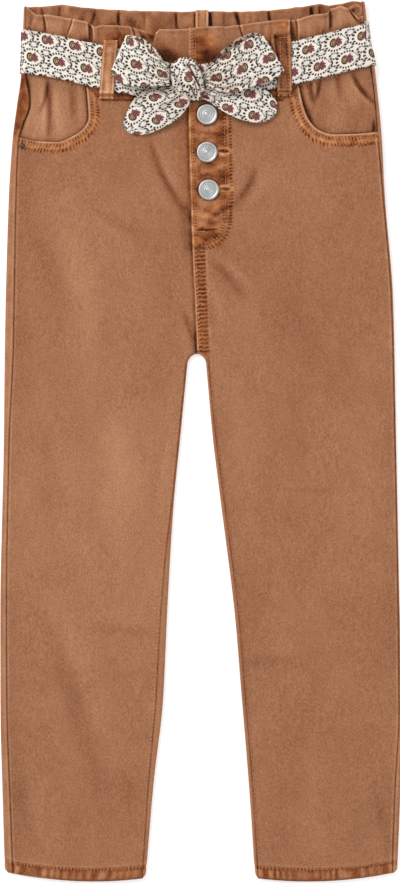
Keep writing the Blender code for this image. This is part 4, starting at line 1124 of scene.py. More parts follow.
def hip_piece(side, name):
    inner_x = SCOOP[side][-1].x - side * 9
    rows, columns = 70, 90
    u = np.linspace(0, len(POCKET_ROWS) - 1, rows)
    level = np.interp(u, range(len(POCKET_ROWS)), [r.y for r in POCKET_ROWS])[:, None]
    share = np.interp(u, range(len(POCKET_ROWS)), [r.waist for r in POCKET_ROWS])[:, None]

    def row_y(x):
        return level + share * (straight(FRONT_SEAM, x) - POCKET_ROWS[0].y)

    y_side = row_y(seam_at[side](level)) - HALF_GAP
    x_side = seam_at[side](y_side) - side * (HALF_GAP + 0.4)
    x = x_side + (inner_x - x_side) * np.linspace(0, 1, columns)[None]
    y = row_y(x) - HALF_GAP
    skin = Skin(x, y)
    skin.folds(HIP_FOLDS[side])
    # The fold tones, painted shade and highlights, are made stronger here.
    skin.tone = 1.35 * skin.tone + (0.04 if side == RIGHT else -0.06) + 0.12 * noise(x, y, (5, 16), 51)
    skin.lift += 0.12 * noise(x, y, (6, 14), 52)
    skin.puckers(WAIST_SEAM, -4.5, -0.5, 3.6, 0.2, 0.4, 53)
    d = nearest(SCOOP_EDGE[side], x, y)[0]
    skin.lift *= 0.15 + 0.85 * ease(0.5, 5, d)
    # Painted shadow under the scoop's edge; on the left one also in the wide gap below it and in the notch at
    # the side.
    skin.tone -= (bump(d, 1.1) + 0.5 * bump(d, 2.2)) * (0.35 + 0.75 * ease(232, 244, y))
    if side == LEFT:
        skin.tone -= 1.1 * bump(d, 3.4) * bump(y - 249, 9) + 1.1 * bump(x - 128.6, 1.2) * bump(y - 236, 4.5)
    base, normal = form_face(side, x, y)
    outer = base - normal * HIP_DEPTH + upward(skin.lift)
    return cloth_piece(f"hip_{name}_cloth", TWILL, outer, outer - normal * CLOTH, skin.values())


for side, name in SIDES.items():
    piece = hip_piece(side, name)
    declare(piece, f"hip_piece_{name}", (66, 68), 0.78)

# %% [markdown]
# ## The back panels
# A back panel starts at the outseam on the front, turns round the side fold, runs across the underside
# and turns up again round the inside leg. That is how trousers lie flat: the seams stand a little way in
# from the folds. The underside rests on the surface, so its creases only rise from it.

# %% Folds round an edge, and the back panels
BACK_SPACING, UNDERSIDE_COLUMNS, OUTER_COLUMNS, INNER_COLUMNS = 2.3, 38, 12, 10


def fold_path(reach, radius, y, steps):
    """Stations round a fold from a seam on the front: distance in, height and angle, one row for each y."""
    t = np.linspace(0, 1, steps)[None]
    flat = 5
    part = np.arccos(np.clip((radius - reach) / radius, -1, 1))
    high = np.where(reach > radius, math.pi / 2, part)[:, None]
    angle = high + (-math.pi / 2 - high) * t
    inward = radius[:, None] * (1 - np.cos(angle))
    height = radius[:, None] * (1 + np.sin(angle))
    lead = np.linspace(0, 1, flat, endpoint=False)[None]
    start = np.maximum(reach, inward[:, 0])[:, None]
    lead_in = start + (inward[:, :1] - start) * lead
    lead_high = section_height(lead_in, np.broadcast_to(y[:, None], lead_in.shape))
    lead_angle = np.broadcast_to(high, lead_in.shape)
    pairs = ((lead_in, inward), (lead_high, height), (lead_angle, angle))
    return [np.concatenate(pair, axis=1) for pair in pairs]


def fold_grid(edge_x, edge_y, facing, reach, lift, steps):
    """Points and normals round a fold; edge and facing are given for each row."""
    inward, height, angle = fold_path(reach, radius_at(edge_y), edge_y, steps)
    x = edge_x[:, None] - facing[:, :1] * inward
    y = edge_y[:, None] - facing[:, 1:] * inward
    points = np.dstack([x, y, height + lift[:, None]])
    normals = np.dstack([facing[:, :1] * np.cos(angle), facing[:, 1:] * np.cos(angle), np.sin(angle)])
    return points, normals


def side_fold(side, y, steps):
    """The fold at the outer side of a leg, a row for each y."""
    edge = edge_at[side](y)
    reach = np.abs(edge - seam_at[side](y)) - HALF_GAP
    return fold_grid(edge, y, np.tile([float(side), 0.0], (len(y), 1)), reach, belt_lift(edge, y), steps)


def joined(first, under, last, axis=1):
    """Points and normals of two folds with an underside between them, which faces down."""
    down = np.broadcast_to([0.0, 0.0, -1.0], under.shape)
    return [np.concatenate(parts, axis=axis) for parts in zip(first, (under, down), last)]


BACK_CREASES = both(FRONT_FOLDS, right="""
-60 262 -52 190 4 5 0.5 -0.14; -96 262 -100 200 -3 5 0.4 -0.12; -30 258 -20 206 2 4 0.4 -0.12;
-14 96 -70 40 5 7 0.6 -0.14; -20 78 -64 20 5 6 0.4 0.08; -120 -20 -50 -44 4 8 0.5 -0.1;
-120 -60 -46 -70 -4 8 0.4 0.07; -110 -200 -70 -300 4 10 0.4 -0.08; -128 150 -80 110 5 10 0.4 -0.07
""", left="""
50 262 44 196 -4 5 0.5 -0.14; 90 264 98 206 3 5 0.4 -0.12; 24 258 14 200 -2 4 0.4 -0.12;
10 98 60 44 -5 7 0.6 -0.14; 116 -12 44 -40 -4 8 0.5 -0.1; 118 -52 40 -66 4 8 0.4 0.07;
112 -196 66 -296 -4 10 0.4 -0.08; 126 146 82 108 -5 10 0.4 -0.07
""")


def back_panel(side):
    """The grid has three parts: the side fold, the underside, and on the leg the inner fold."""
    lines = [
        lambda x: straight(BACK_SEAM, x) - HALF_GAP,
        lambda x: belt_back_at(x) - BELT_HALF - LIFT_FULL,
        lambda x: belt_back_at(x) - BELT_HALF - LIFT_START,
    ] + [lambda x, y=y: y + 0 * x for y in (242.0, SCOOP[side][0].y, *SEAT_ROWS)]
    angles = [a[0] for a in ARCH_ROWS]
    edge = edge_at[side](260.0)
    outer_y = [f(edge) for f in lines] + [a[1] for a in ARCH_ROWS] + [r.outer for r in LEG_ROWS]
    inner_y = [f(0.0) for f in lines] + [arch_point(side, a)[1] for a in angles] + [r.inner for r in LEG_ROWS]
    seat = len(lines)
    arch_end = seat + len(angles) - 1
    stations, u = fine_rows(outer_y, inner_y, BACK_SPACING)
    y_out, y_in = np.interp(u, stations, outer_y), np.interp(u, stations, inner_y)
    outer_fold = side_fold(side, y_out, OUTER_COLUMNS)
    turn = np.interp(u, stations[seat : arch_end + 1], angles)
    leg = u >= arch_end
    spot_x, spot_y = arch_point(side, turn)
    spot_x = np.where(leg, inner_edge_at[side](y_in), spot_x + np.where(turn < 8, side * HALF_GAP, 0))
    spot_y = np.where(leg, y_in, spot_y)
    face = np.where(leg[:, None], [[-side, 0]], arch_face(side, turn))
    reach = np.abs(inner_seam_at[side](spot_y) - inner_edge_at[side](spot_y)) - HALF_GAP
    inner_fold = fold_grid(spot_x, spot_y, face, reach, 0 * u, INNER_COLUMNS)
    on_seat = (u < seat)[:, None]
    start = outer_fold[0][:, -1]
    centre = np.stack([centre_back_at(y_in) + side * HALF_GAP, y_in, belt_lift(0 * y_in, y_in)], axis=1)
    end = np.where(on_seat, centre, inner_fold[0][:, -1])
    t = np.linspace(0, 1, UNDERSIDE_COLUMNS + 1)[None, 1:]
    x, y = (start[:, n, None] + (end[:, n, None] - start[:, n, None]) * t for n in (0, 1))
    line_y = np.stack([f(x) for f in lines])
    low = np.clip(np.floor(u), 0, seat - 2).astype(int)
    part = np.clip(u - low, 0, 1)[:, None]
    row = np.arange(len(u))
    picked, following = line_y[low, row], line_y[low + 1, row]
    y = np.where((u < seat - 1)[:, None], picked + (following - picked) * part, y)
    bow = np.interp(u, stations, [0] * (arch_end + 1) + [r.bow for r in LEG_ROWS])[:, None]
    y = y - bow * 4 * t * (1 - t)
    under = np.dstack([x, y, belt_lift(x, y)])
    points, normals = joined(outer_fold, under, [grid[:, -2::-1] for grid in inner_fold])
    x, y = points[..., 0], points[..., 1]
    corner = np.minimum(abs(x - edge_at[side](y)), abs(x - inner_edge_at[side](y)))
    inset = np.clip(1 - corner / CORNER, 0, 1)
    points[..., 1] += CORNER * (1 - np.sqrt(1 - inset**2)) * ease(-312, HEM_LINE, y)
    first = outer_fold[0].shape[1]
    last = first + UNDERSIDE_COLUMNS
    present = np.ones(points.shape[:2], bool)
    present[:, last:] = ~on_seat
    return points, normals, present, first, last


def back_cloth(side, name):
    points, normals, present, first, last = back_panel(side)
    x, y = points[..., 0], points[..., 1]
    column = np.arange(x.shape[1])[None] + 0 * x
    strip, flat, inner_strip = column < first, (column >= first) & (column < last), column >= last
    skin, under = Skin(x, y), Skin(x, y)
    seed = 61 if side == RIGHT else 62
    skin.tone += 0.05 * noise(x, y, (28, 60), seed) + 0.05 * noise(x, y, (11, 19), seed + 1)
    skin.tone += 0.02 if side == RIGHT else -0.04
    from_seam = np.where(strip & (normals[..., 2] > -0.2), np.abs(x - seam_at[side](y)), 99)
    seam_dark = 0.5 if side == RIGHT else 0.5 * (1 - ease(226, 234, y))
    skin.tone += 0.06 * strip - seam_dark * bump(from_seam, 0.45) + 0.24 * bump(from_seam - 1.4, 0.6)
    if side == RIGHT:
        hip = strip * ease(218, 236, y)
        bars = np.sin(2 * math.pi * (y + 1.2 * x) / 11.0 + 4 * noise(x, y, (6, 14), seed + 2))
        skin.tone += hip * (0.16 * bars + 0.24 * noise(x, y, (3.0, 5.0), seed + 6) - 0.42)
        skin.stain(hip * 0.9)
    else:
        hip = 0
        # Painted shade in the notch at the side.
        skin.tone -= strip * bump(x - 130, 1.5) * bump(y - 236, 4.5)
    skin.tone += 0.1 * strip * noise(x, y, (3, 6), seed + 3) * (1 - hip)
    under.folds(BACK_CREASES[side])
    under.lift *= ease(0, 14, np.abs(x - edge_at[side](y)))
    under.lift += 0.1 * noise(x, y, (22, 34), seed + 4)
    centre = along_y(centre_back_at, 262, 66)
    under.puckers(centre, side * 0.6, side * 7.6, 3.0, 0.6, 0.45, 64)
    under.line(centre, side * 0.2, 0.6, -0.5)
    under.puckers(along_seam(BACK_SEAM, -139, 132, 120), -5, -0.5, 3.8, 0.2, 0.35, 65)
    skin.tone += under.tone * flat
    skin.bars, skin.phase = under.bars * flat, under.phase
    from_inseam = np.where(inner_strip & (normals[..., 2] > 0), np.abs(x - inner_seam_at[side](y)), 99)
    skin.tone += 0.05 * inner_strip - 0.35 * bump(from_inseam, 0.6)
    add_hem(skin, side, seed + 5)
    rise = upward(flat * np.maximum(under.lift, 0))
    outer = points + normals * (skin.lift * ~flat * 0.6)[..., None] + rise
    outer[..., 2] = np.maximum(outer[..., 2], 0)
    inner = points - normals * wall_at(y)[..., None] + rise
    return cloth_piece(f"back_{name}_cloth", TWILL, outer, inner, skin.values(-0.25), present)


for side, name in SIDES.items():
    declare(back_cloth(side, name), f"back_panel_{name}", (190, 618), 0.74)
print(tally)

# %% [markdown]
# ## The paperbag waist
# Above the waist seam the cloth is gathered by the belt and stands up past it as a frill. Its top edge
# is uneven: stretches lie flat, others are tucked into pleats whose edges lie over their neighbours. A
# pleat's edge is a steep small step in height, with a painted highlight on its fold and painted shade
# in the gap beside it.

# %% Shapes of the frill
FRILL = both("x top lift", right="""
-132 325 0.4; -124 318.8 0.2; -115.8 318.7 1.6; -107 317.6 -0.4; -97.2 315.6 1; -86.4 313.4 1.2;
-80.4 309.9 -0.6; -74.4 311.2 1.4; -55.5 310.1 0.8; -46 307.9 -0.9; -36 304.4 -0.6; -31.5 307.9 0.7;
-16.5 308 0.2; -10.5 308.4; 7.8 308
""", left="""
-10 308.8; 10.2 310.3; 16.8 310.1; 26.2 310.9 0.8; 29.5 311.2 -0.2; 38.6 312.8 1; 60.2 315.1 0.8;
67.2 314.8 -0.6; 72.2 315.6 0.6; 78.8 317.8 1.2; 93.8 319.9 1.6; 95.6 323 -0.2; 104 325.6 -0.2; 110 323.5 1.4;
116.5 316.5 1.4; 120 318 0.4
""")
FRILL_BACK = table("x top lift", """
-124 325.4; -114.4 325.9 0.9; -105 327.2 0.1; -91 325 0.9; -75 323.6; -63 322.9 0.8; -47 322.4 0.1;
-35.2 322.1 0.9; -16.5 321.7 0.2; -7 321.9; 7 321.9; 16.5 321.8 0.8; 27 321.7; 38 321.8 0.9; 50 322.7 0.1;
66 324.3 0.9; 79 326; 88.5 327.6 0.8; 95 326 0.1; 104 327.6 0.9; 113 329.6 0.3
""")
BACK_CORNER = {RIGHT: 325.2, LEFT: 329.0}
FRILL_SHARES = (0.0, 0.0, 0.0, 0.15, 0.5, 0.8, 1.0)
FLAP = "x1 y1 x2 y2 bend side rise fade"
FLAPS = both(FLAP, right="""
-96.2 317.5 -101.4 302 0.4 1 1.3 14; -85.4 312 -84.6 296 0.6 -1 1.2 8; -83 312 -82.2 297 1 1 1.5 7;
-52.6 309 -50 296 0.5 -1 1.1 8; -33.6 308 -36.6 298 -0.5 1 1 12; -118.5 319 -116.6 306 0.4 1 0.8 8
""", left="""
28.4 312 31.6 301 -0.4 1 0.8 12; 66 317 65.6 300 0 -1 1.2 12; 70.2 317 71.4 300 0.8 1 0.8 7;
95 322 94.8 306 0.2 -1 1.9 18; 109.4 326 118.6 312 -0.6 1 0.8 7
""")
WAIST_FOLDS = both(FRONT_FOLDS, right="""
-117.4 318 -117 302 0 1.1 -0.6 -0.55; -124 318 -131 309 1 1.6 0.5 0.2; -127 319 -131.5 305 1 1.2 -0.5 -0.45;
-110 317 -108 300 0 3 0.4 0.08; -84.2 312 -83.8 296 0 0.9 -1.3 -0.6; -90 300 -83 293 0 1.2 -0.6 -0.5;
-47.5 309 -41 299 -1 1.3 -0.8 -0.6; -43 308 -39 302 -1 1.2 0.7 0.35; -50.5 309 -45 300 0 1.3 0.6 0.28;
-36.6 306 -39 296 0 1.6 -0.6 -0.5; -32 296 -24 285 2 4 -0.3 -0.35; -78 311 -77 297 0 1.5 -0.3 -0.2;
-66 308 -58 297 0 3 -0.3 -0.25; -103 312 -104 300 0 2 -0.3 -0.15; -20 308 -18 290 1 3 0.2 0.06;
-88.6 311 -88 300 0 2 0.4 0.12; -60 309 -58 300 0 1.5 0.3 0.15
""", left="""
28.6 311 31.4 300 0 0.9 -0.4 -0.55; 67.6 315 68 300 0 0.9 -1.1 -0.55; 70 309 74 298 0 1.2 0.7 0.3;
72 306 76.5 297 0 1.1 -0.6 -0.5; 90.6 309 90 302 0 1 -0.5 -0.6; 96.4 321 96.6 306 0 1.2 -1 -0.6;
108.8 326 118.4 312 0 1.1 -0.9 -0.6; 112.5 325 119.6 316 1.5 1.1 0.8 0.45; 102 324 106 308 0 3 0.4 0.08;
82 317 80 300 0 3 0.4 0.08; 48 312 50 298 0 3 0.3 0.05; 57 300 66 299 0 1.6 -0.5 -0.75;
-3 304 2 288 0 3.4 -0.2 -0.4; 8 306 6 290 0 3 0.2 0.12; 16 309 20 290 0 2 -0.2 -0.08;
117 322 120 308 0 1.2 -0.5 -0.45; 40 300 44 290 1 3 -0.3 -0.2
""")
# Patches of rust; deep darkens a patch as painted shade, in the hollows beside the bow, the belt and the
# carriers.
PATCH = "x y wide high amount deep"
RUST_AND_SHADE_PATCHES = both(PATCH, right="""
-62 300 9 6 1 0.25; -70 262 9 8 0.8 0.1; -51 260 18 4.5 0.9 0.45; -25 287 10 4.4 0.6 1.15;
-31 292 7 7 0.4 0.25; -86 299 5 5 0.3 0.7; -66 297 6 3 1 0.4; -40 303 6 4 0.5 0.25; -36 262 9 5 0.8 0.5
""", left="""
57 300 9 5 1 0.5; 3 298 9 7 0.9 0.1; 4 287.5 14 4.5 1 0.55; 58 260 12 8 0.8 0.2; 66 285 5 14 0.6 0.5;
-5 298 1.5 12 0.6 0.3; 60 312 5 4 0.9; 68 300 3 9 0.5 0.5; 33 263 16 4 0.7 0.5
""")


def add_flaps(skin, flaps):
    for f in flaps:
        path = fold_line(f)
        here, _, run, left = skin.beside(path, 2.5 * f.fade)
        s = left * f.side
        full = 1 - ease(0.6, 1.0, run / path_length(path)[-1])
        skin.lift[here] += f.rise * full * ease(-0.4, 0.4, s) * bump(np.maximum(s, 0), f.fade)
        # A painted highlight on the pleat's fold and painted shade in the gap beside it.
        skin.tone[here] += full * (0.6 * bump(s - 0.8, 0.55) - 0.95 * bump(s + 0.6, 0.55))


def add_patches(skin, patches, seed):
    for p in patches:
        spot = bump(np.hypot((skin.x - p.x) / p.wide, (skin.y - p.y) / p.high), 1)
        skin.stain(p.amount * np.clip(spot * 1.6, 0, 1))
        # amount gives rust and mottling, deep a painted shade.
        skin.tone += spot * (p.amount * (0.55 * noise(skin.x, skin.y, (3.6, 3.0), seed) - 0.1) - p.deep)


def waist_levels(seam, x, top):
    """Heights of the rows up a waist piece at each place: its seam, round the belt, and the frill."""
    start = straight(seam, x) + GAP
    belt = belt_back_at(x)
    low = belt - BELT_HALF - LIFT_START
    below = np.maximum(start + 2, belt - BELT_HALF - LIFT_FULL)
    above = np.minimum(belt + BELT_HALF + FALL_START, top - 4)
    fallen = np.minimum(belt + BELT_HALF + FALL_END, top - 2)
    extra = np.where(low > start + 1, low, (below + above) / 2)
    return np.sort(np.stack([start, extra, below, above, fallen, (fallen + top) / 2, top]), axis=0)


def spread(levels, u):
    """Values between the rows of a table of levels, at each station of u."""
    low = np.clip(np.floor(u), 0, len(levels) - 2).astype(int)
    part = (u - low)[:, None]
    return levels[low] * (1 - part) + levels[low + 1] * part


def waist_rows_at(count):
    u = np.concatenate([np.linspace(0, 0.3, 4, endpoint=False), np.linspace(0.3, 6, count)])
    return u, np.interp(u, range(7), FRILL_SHARES)[:, None]


print("frill points", {s: len(FRILL[s]) for s in FRILL})


# %% The front waist pieces
def waist_skin(side, x, y):
    skin = Skin(x, y)
    seed = 71 if side == RIGHT else 72
    skin.tone += 0.12 * noise(x, y, (7, 12), seed) + 0.17 * noise(x, y, (3.2, 11), seed + 6) - 0.05
    skin.lift += 0.15 * noise(x, y, (9, 16), seed + 1)
    skin.folds(WAIST_FOLDS[side])
    add_flaps(skin, FLAPS[side])
    upper = belt_front_at(x) + belt_width_at(x)
    lower = belt_front_at(x) - belt_width_at(x)
    skin.lift *= ease(-1, 5, y - upper) + 0.3 * ease(-1, 3, lower - y)
    add_patches(skin, RUST_AND_SHADE_PATCHES[side], seed + 2)
    # Painted shadow under the belt's upper edge.
    skin.tone -= 0.34 * bump(np.maximum(y - upper, 0), 3.0) * (y > upper - 4)
    skin.line(WAIST_SEAM, 0.4, 0.6, -0.4, ragged=0.5, seed=seed + 3)
    skin.puckers(WAIST_SEAM, 1.0, 6.5, 4.2, 0.4, 0.25, seed + 4)
    if side == LEFT:
        edge = along_y(fly_at, 312, 252)
        # A pale line along the fly's edge: wear, and a painted highlight.
        skin.line(edge, 0.8, 0.6, 0.45, 0.12, ragged=0.2)
        skin.puckers(edge, 1.4, 5.2, 2.6, 0.5, 0.45, seed + 5)
    return skin


def front_waist(side, name):
    frill = FRILL[side]
    xs = np.append(np.arange(frill[0].x, frill[-1].x, 0.6), frill[-1].x)
    top = np.interp(xs, [f.x for f in frill], [f.top for f in frill]) + 0.25 * waver(xs, 4, 73)
    stand = smooth(frill, "x", "lift")(xs)
    u, share = waist_rows_at(62)
    y = spread(waist_levels(FRONT_SEAM, xs, top), u)
    outer_end, first = (xs[0], frill[1].x) if side == RIGHT else (xs[-1], frill[-2].x)
    near_seam = np.clip((xs - first) / (outer_end - first), 0, 1)[None]
    x = xs[None] + near_seam * (seam_at[side](y) - side * HALF_GAP - outer_end)
    skin = waist_skin(side, x, y)
    rim = top[None] - y
    # A pale top rim, worn and a painted highlight, and a little painted shade just below it.
    skin.tone += 0.45 * bump(rim, 0.8) - 0.1 * bump(rim - 2.2, 1.0)
    skin.lift += stand[None] * share
    base, normal = form_face(side, x, y)
    outer = base + upward(skin.lift)
    return cloth_piece(f"waist_{name}_cloth", TWILL, outer, outer - normal * CLOTH, skin.values(-0.15))


for side, name in SIDES.items():
    rests = ["back_waist_cloth", f"front_{name}_cloth"]
    piece = front_waist(side, name)
    declare(piece, f"front_waist_{name}", (165, 56), 0.95)

# %% [markdown]
# ## The back of the waist
# The back waist turns round both side folds and crosses behind. Its inner face shows above the front's
# lower top edge, drawn into narrow upright tucks. Each tuck is a sharp crease, painted dark as shade,
# between soft flat stretches, and the whole inner face is painted a little darker as in shade.

# %% The back waist piece
INSIDE_TUCKS = table(FRONT_FOLDS, """
-120.8 326 -118.5 314 0 0.9 -0.5 -0.6; -106.6 327 -107.4 312 0 0.9 -0.5 -0.45;
-79.8 324 -85 310 0.8 1.1 -0.7 -0.6; -62.2 324 -61.8 309 -0.7 1.1 -0.9 -1.15; -64 313 -80 308 1 2 -0.6 -0.6;
-51.6 318 -51 308 0 2.6 -0.4 -0.35; -42.8 322 -43.4 309 0 1 -0.4 -0.35; -19.6 323 -19 307 0 0.9 -0.7 -0.9;
-5.6 322 -5.4 308 0 0.9 -0.5 -0.9; 5.8 322 6.9 308 0 1.6 -0.9 -1.25; 16.2 322 16.2 308 0 0.8 -0.3 -0.3;
24.6 323 28.6 309 0.3 1.3 -0.9 -1.1; 49.6 324 51 311 0 1 -0.8 -1.1; 81.6 327 82.6 314 0 1.3 -0.9 -1.15;
87.4 327 88.8 318 0 0.9 -0.4 -0.5; 100 328 101 318 0 1 -0.4 -0.4; 110.5 320.5 114.5 327 1.6 0.8 0.5 0.8;
114.5 327 119.6 322.5 1.6 0.8 0.5 0.7; 119.6 322.5 115.5 319.5 1 0.8 0.4 0.5;
112.5 319.5 115.5 324.2 1 1.1 -0.5 -0.7; -92 325 -93 312 0 4 0.5 0.1; -70 324 -71 312 0 3 0.4 0.08;
-32 323 -31 310 0 4 0.5 0.08; 38 323 39 310 0 5 0.5 0.08; 66 325 67 312 0 5 0.5 0.08;
11 323 12 310 0 2.4 0.5 0.12; -113 327 -114 314 0 3 0.5 0.1; 44 323 45 314 0 2 -0.2 -0.1
""")


def back_waist():
    u, share = waist_rows_at(56)
    folds = {}
    for side, corner in BACK_CORNER.items():
        levels = waist_levels(BACK_SEAM, np.array([edge_at[side](BELT_SIDE_Y)]), np.array([corner]))
        folds[side] = side_fold(side, spread(levels, u)[:, 0], 13)
    first, last = folds[RIGHT][0][:, -1], folds[LEFT][0][:, -1]
    xs = np.linspace(first[-1, 0], last[-1, 0], 300)[1:-1]
    backs = [-134, *[f.x for f in FRILL_BACK], 123]
    tops = [BACK_CORNER[RIGHT], *[f.top for f in FRILL_BACK], BACK_CORNER[LEFT]]
    top = np.interp(xs, backs, tops) + 0.25 * waver(xs, 5, 82)
    stand = np.interp(xs, backs, [0, *[f.lift for f in FRILL_BACK], 0])
    y = spread(waist_levels(BACK_SEAM, xs, top), u)
    x = first[:, :1] + (last[:, :1] - first[:, :1]) * np.linspace(0, 1, 300)[None, 1:-1]
    under = np.dstack([x, y, belt_lift(x, y) + stand[None] * share])
    points, normals = joined(folds[RIGHT], under, [grid[:, ::-1] for grid in folds[LEFT]])
    side_columns = folds[RIGHT][0].shape[1]
    flat = np.zeros(points.shape[:2])
    flat[:, side_columns:-side_columns] = 1
    x, y = points[..., 0], points[..., 1]
    skin = Skin(x, y)
    skin.folds(INSIDE_TUCKS)
    up = upward(skin.lift * np.clip(share * 1.4, 0, 1) * flat)
    rim = y[-1:] - y
    # The inner face is painted a little darker as in shade, with its tucks painted as dark creases and a pale
    # top rim, worn and a painted highlight; the outer face also gets a pale rim.
    inside_tone = 1.3 * skin.tone - 0.13 + 0.35 * bump(rim, 0.7) + 0.26 * noise(x, y, (6, 9), 83)
    inside_tone += 0.2 * noise(x, y, (2.6, 9), 86)
    skin.tone = 0.5 * skin.tone + 0.06 * noise(x, y, (14, 20), 84) + 0.3 * bump(rim, 0.9)
    skin.puckers(along_seam(BACK_SEAM, -140, 133, 120), 0.4, 6, 3.4, 0.3, 0.4, 85)
    for side in SIDES:
        from_seam = np.abs(x - seam_at[side](y)) + 99 * (normals[..., 2] < -0.2)
        skin.tone += 0.15 * bump(from_seam - 1.4, 0.7) - 0.75 * bump(from_seam, 0.6)
    outer = points + np.maximum(up, -points[..., 2:] * 0.8)
    inner = points - normals * CLOTH + up * 0.9
    values = skin.values()
    values["tone"], values["rust"] = (skin.tone, inside_tone), (skin.rust, 0 * x + 0.15)
    return cloth_piece("back_waist_cloth", TWILL, outer, inner, values)


declare(back_waist(), "back_waist", (330, 46), 0.9)
print(tally)

# %% [markdown]
# ## The belt
# The belt is a strip of the print cotton, folded double and pressed. It crosses the back, passes round
# each side fold and runs over the front to the bow. The print's two lengths are stored on it as it is
# made: how far along the belt a point is, and how far above the belt's middle.

# %% The belt's three stretches
BELT_GAP, BELT_REACH = 0.45, 6.0
CARRIER_WIDTH, CARRIER_GAP, CARRIER_REACH = 9.0, 0.5, 3.2
MOTIF_START = {RIGHT: (-115.6, 11.2), LEFT: (79.3, 7.4)}
BELT_SHARES = np.linspace(-1, 1, 34)


def height_beside(side, x, y, reach):
    """The highest the front comes within a reach of a place, for what lies straight across it."""
    near = [form_height(side, x + dx, y + dy) for dx in (-reach, 0, reach) for dy in (-reach, 0, reach)]
    return np.max(near, axis=0)


def belt_side(side, angle):
    """Points of the belt round a side fold: a row for each angle, a column for each share of its width."""
    y = belt_front_at(edge_at[side](BELT_SIDE_Y)) + BELT_SHARES * BELT_HALF
    y = np.broadcast_to(y[None], (len(angle), len(y)))
    a = np.radians(angle)[:, None]
    r = radius_at(y)
    x = edge_at[side](y) - side * r * (1 - np.cos(a))
    z = belt_lift(edge_at[side](y), y) + r * (1 + np.sin(a))
    normal = np.dstack([side * np.cos(a) + 0 * y, 0 * y, np.sin(a) + 0 * y])
    return np.dstack([x, y, z]), normal


def printed(name, outer, inner, tone, along, across, inner_shade=0.0):
    # The inner face's tone is lowered by the last argument: painted shade on the underside.
    values = {"tone": (tone, tone + inner_shade), "along": (along, along), "across": (across, across)}
    return cloth_piece(name, PRINT, outer, inner, values)


def belt_cloth(name, points, normals, along, across, relief, tone):
    outer = points + normals * (BELT_GAP + BELT_CLOTH + relief)[..., None]
    return printed(name, outer, points + normals * BELT_GAP, tone, along, across)


def belt_front(side, name, end_x):
    share = BELT_SHARES[None]
    angle = np.linspace(2, 90, 12)
    round_side, side_normals = belt_side(side, angle)
    edge = float(edge_at[side](BELT_SIDE_Y))
    xs = np.linspace(edge - side * 4.5, end_x, int(abs(end_x - edge) / 0.9))
    x = xs[:, None] + 0 * share
    y = belt_front_at(x) + share * (belt_width_at(x) + 0.35 * noise(x, share * 9, (9, 30), 91))
    z = height_beside(side, x, y, BELT_REACH)
    fold_z = belt_lift(x, y) + 2 * radius_at(y)
    z = fold_z + (z - fold_z) * ease(0, 14, np.abs(x - edge))
    over = np.dstack([x, y, z])
    up = np.broadcast_to([0.0, 0.0, 1.0], over.shape)
    points, normals = np.concatenate([round_side, over]), np.concatenate([side_normals, up])
    radius = float(radius_at(BELT_SIDE_Y))
    turned = (radius + BELT_GAP + BELT_CLOTH) * np.radians(90 - angle)[:, None]
    wrap = edge - side * radius + side * turned + 0 * share
    start_along, start_across = MOTIF_START[side]
    along = np.concatenate([wrap, x]) - start_along
    across = np.concatenate([share * BELT_HALF + 0 * wrap, y - belt_front_at(x)]) - start_across
    if side == RIGHT:
        points[..., 0] += 1.1 * bump(points[..., 0] - edge, 12)
    px, py = points[..., 0], points[..., 1]
    relief = 0.14 + 0.14 * noise(px, py, (16, 10), 92) + 0.08 * noise(px, py, (5, 7), 93)
    tone = 0.1 * noise(px, py, (14, 9), 94) - 0.15 * bump(1 - np.abs(share) + 0 * px, 0.035)
    return belt_cloth(f"belt_{name}_cloth", points, normals, along, across, relief, tone)


def belt_back():
    right, left = (belt_side(side, np.linspace(-2, -90, 12)) for side in SIDES)
    xs = np.linspace(edge_at[RIGHT](BELT_SIDE_Y) + 5, edge_at[LEFT](BELT_SIDE_Y) - 5, 200)
    x = xs[:, None] + 0 * BELT_SHARES
    under = np.dstack([x, belt_back_at(x) + BELT_SHARES * BELT_HALF, 0 * x + BELT_LIFT])
    points, normals = joined(right, under, [grid[::-1] for grid in left], axis=0)
    along = path_length(points[:, len(BELT_SHARES) // 2])[:, None] + 0 * BELT_SHARES
    across = BELT_SHARES * BELT_HALF - MOTIF_START[RIGHT][1] + 0 * along
    relief = 0.05 + 0.05 * noise(points[..., 0], points[..., 1], (16, 10), 95)
    return belt_cloth("belt_back_cloth", points, normals, along, across, relief, 0 * across)


declare(belt_back(), "belt_back", (268, 33))
for side, end_x, cut in ((RIGHT, -11.5, (132, 33)), (LEFT, -8.0, (148, 33))):
    name = SIDES[side]
    belt = belt_front(side, name, end_x)
    declare(belt, f"belt_front_{name}", cut)

# %% [markdown]
# ## Belt carriers
# A carrier is a narrow folded strip that holds the belt. On the front its ends are tacked down above
# and below the belt; at the centre back it also turns over the top edge and shows inside. Each has a
# pale worn rib along both edges, a darker line inside each rib, and patches of rust.


# %% The three carriers
CARRIER_ENDS = {
    RIGHT: (np.array([-68.2, 299.6]), np.array([-71.6, 256.8])),
    LEFT: (np.array([61.2, 303.6]), np.array([61.8, 258.6])),
}


def carrier_values(share, run, seed):
    """Tone and rust of a carrier from its place across (-1 to 1) and along, and how its ribs stand up."""
    out = np.abs(share)
    tone = 0.6 * bump(out - 0.86, 0.14) - 0.42 * bump(out - 0.6, 0.12)
    tone = tone + 0.24 * noise(run, share * 4, (3.4, 2.2), seed) + 0.02
    rust = np.clip(0.35 - 0.4 * noise(run, share * 4, (6, 3), seed + 1), 0, 1)
    lift = 0.14 * bump(out - 0.84, 0.18) - 0.1 * bump(out - 0.6, 0.14)
    return tone, rust, lift + 0.08 * noise(run, share * 4, (4, 3), seed + 2)


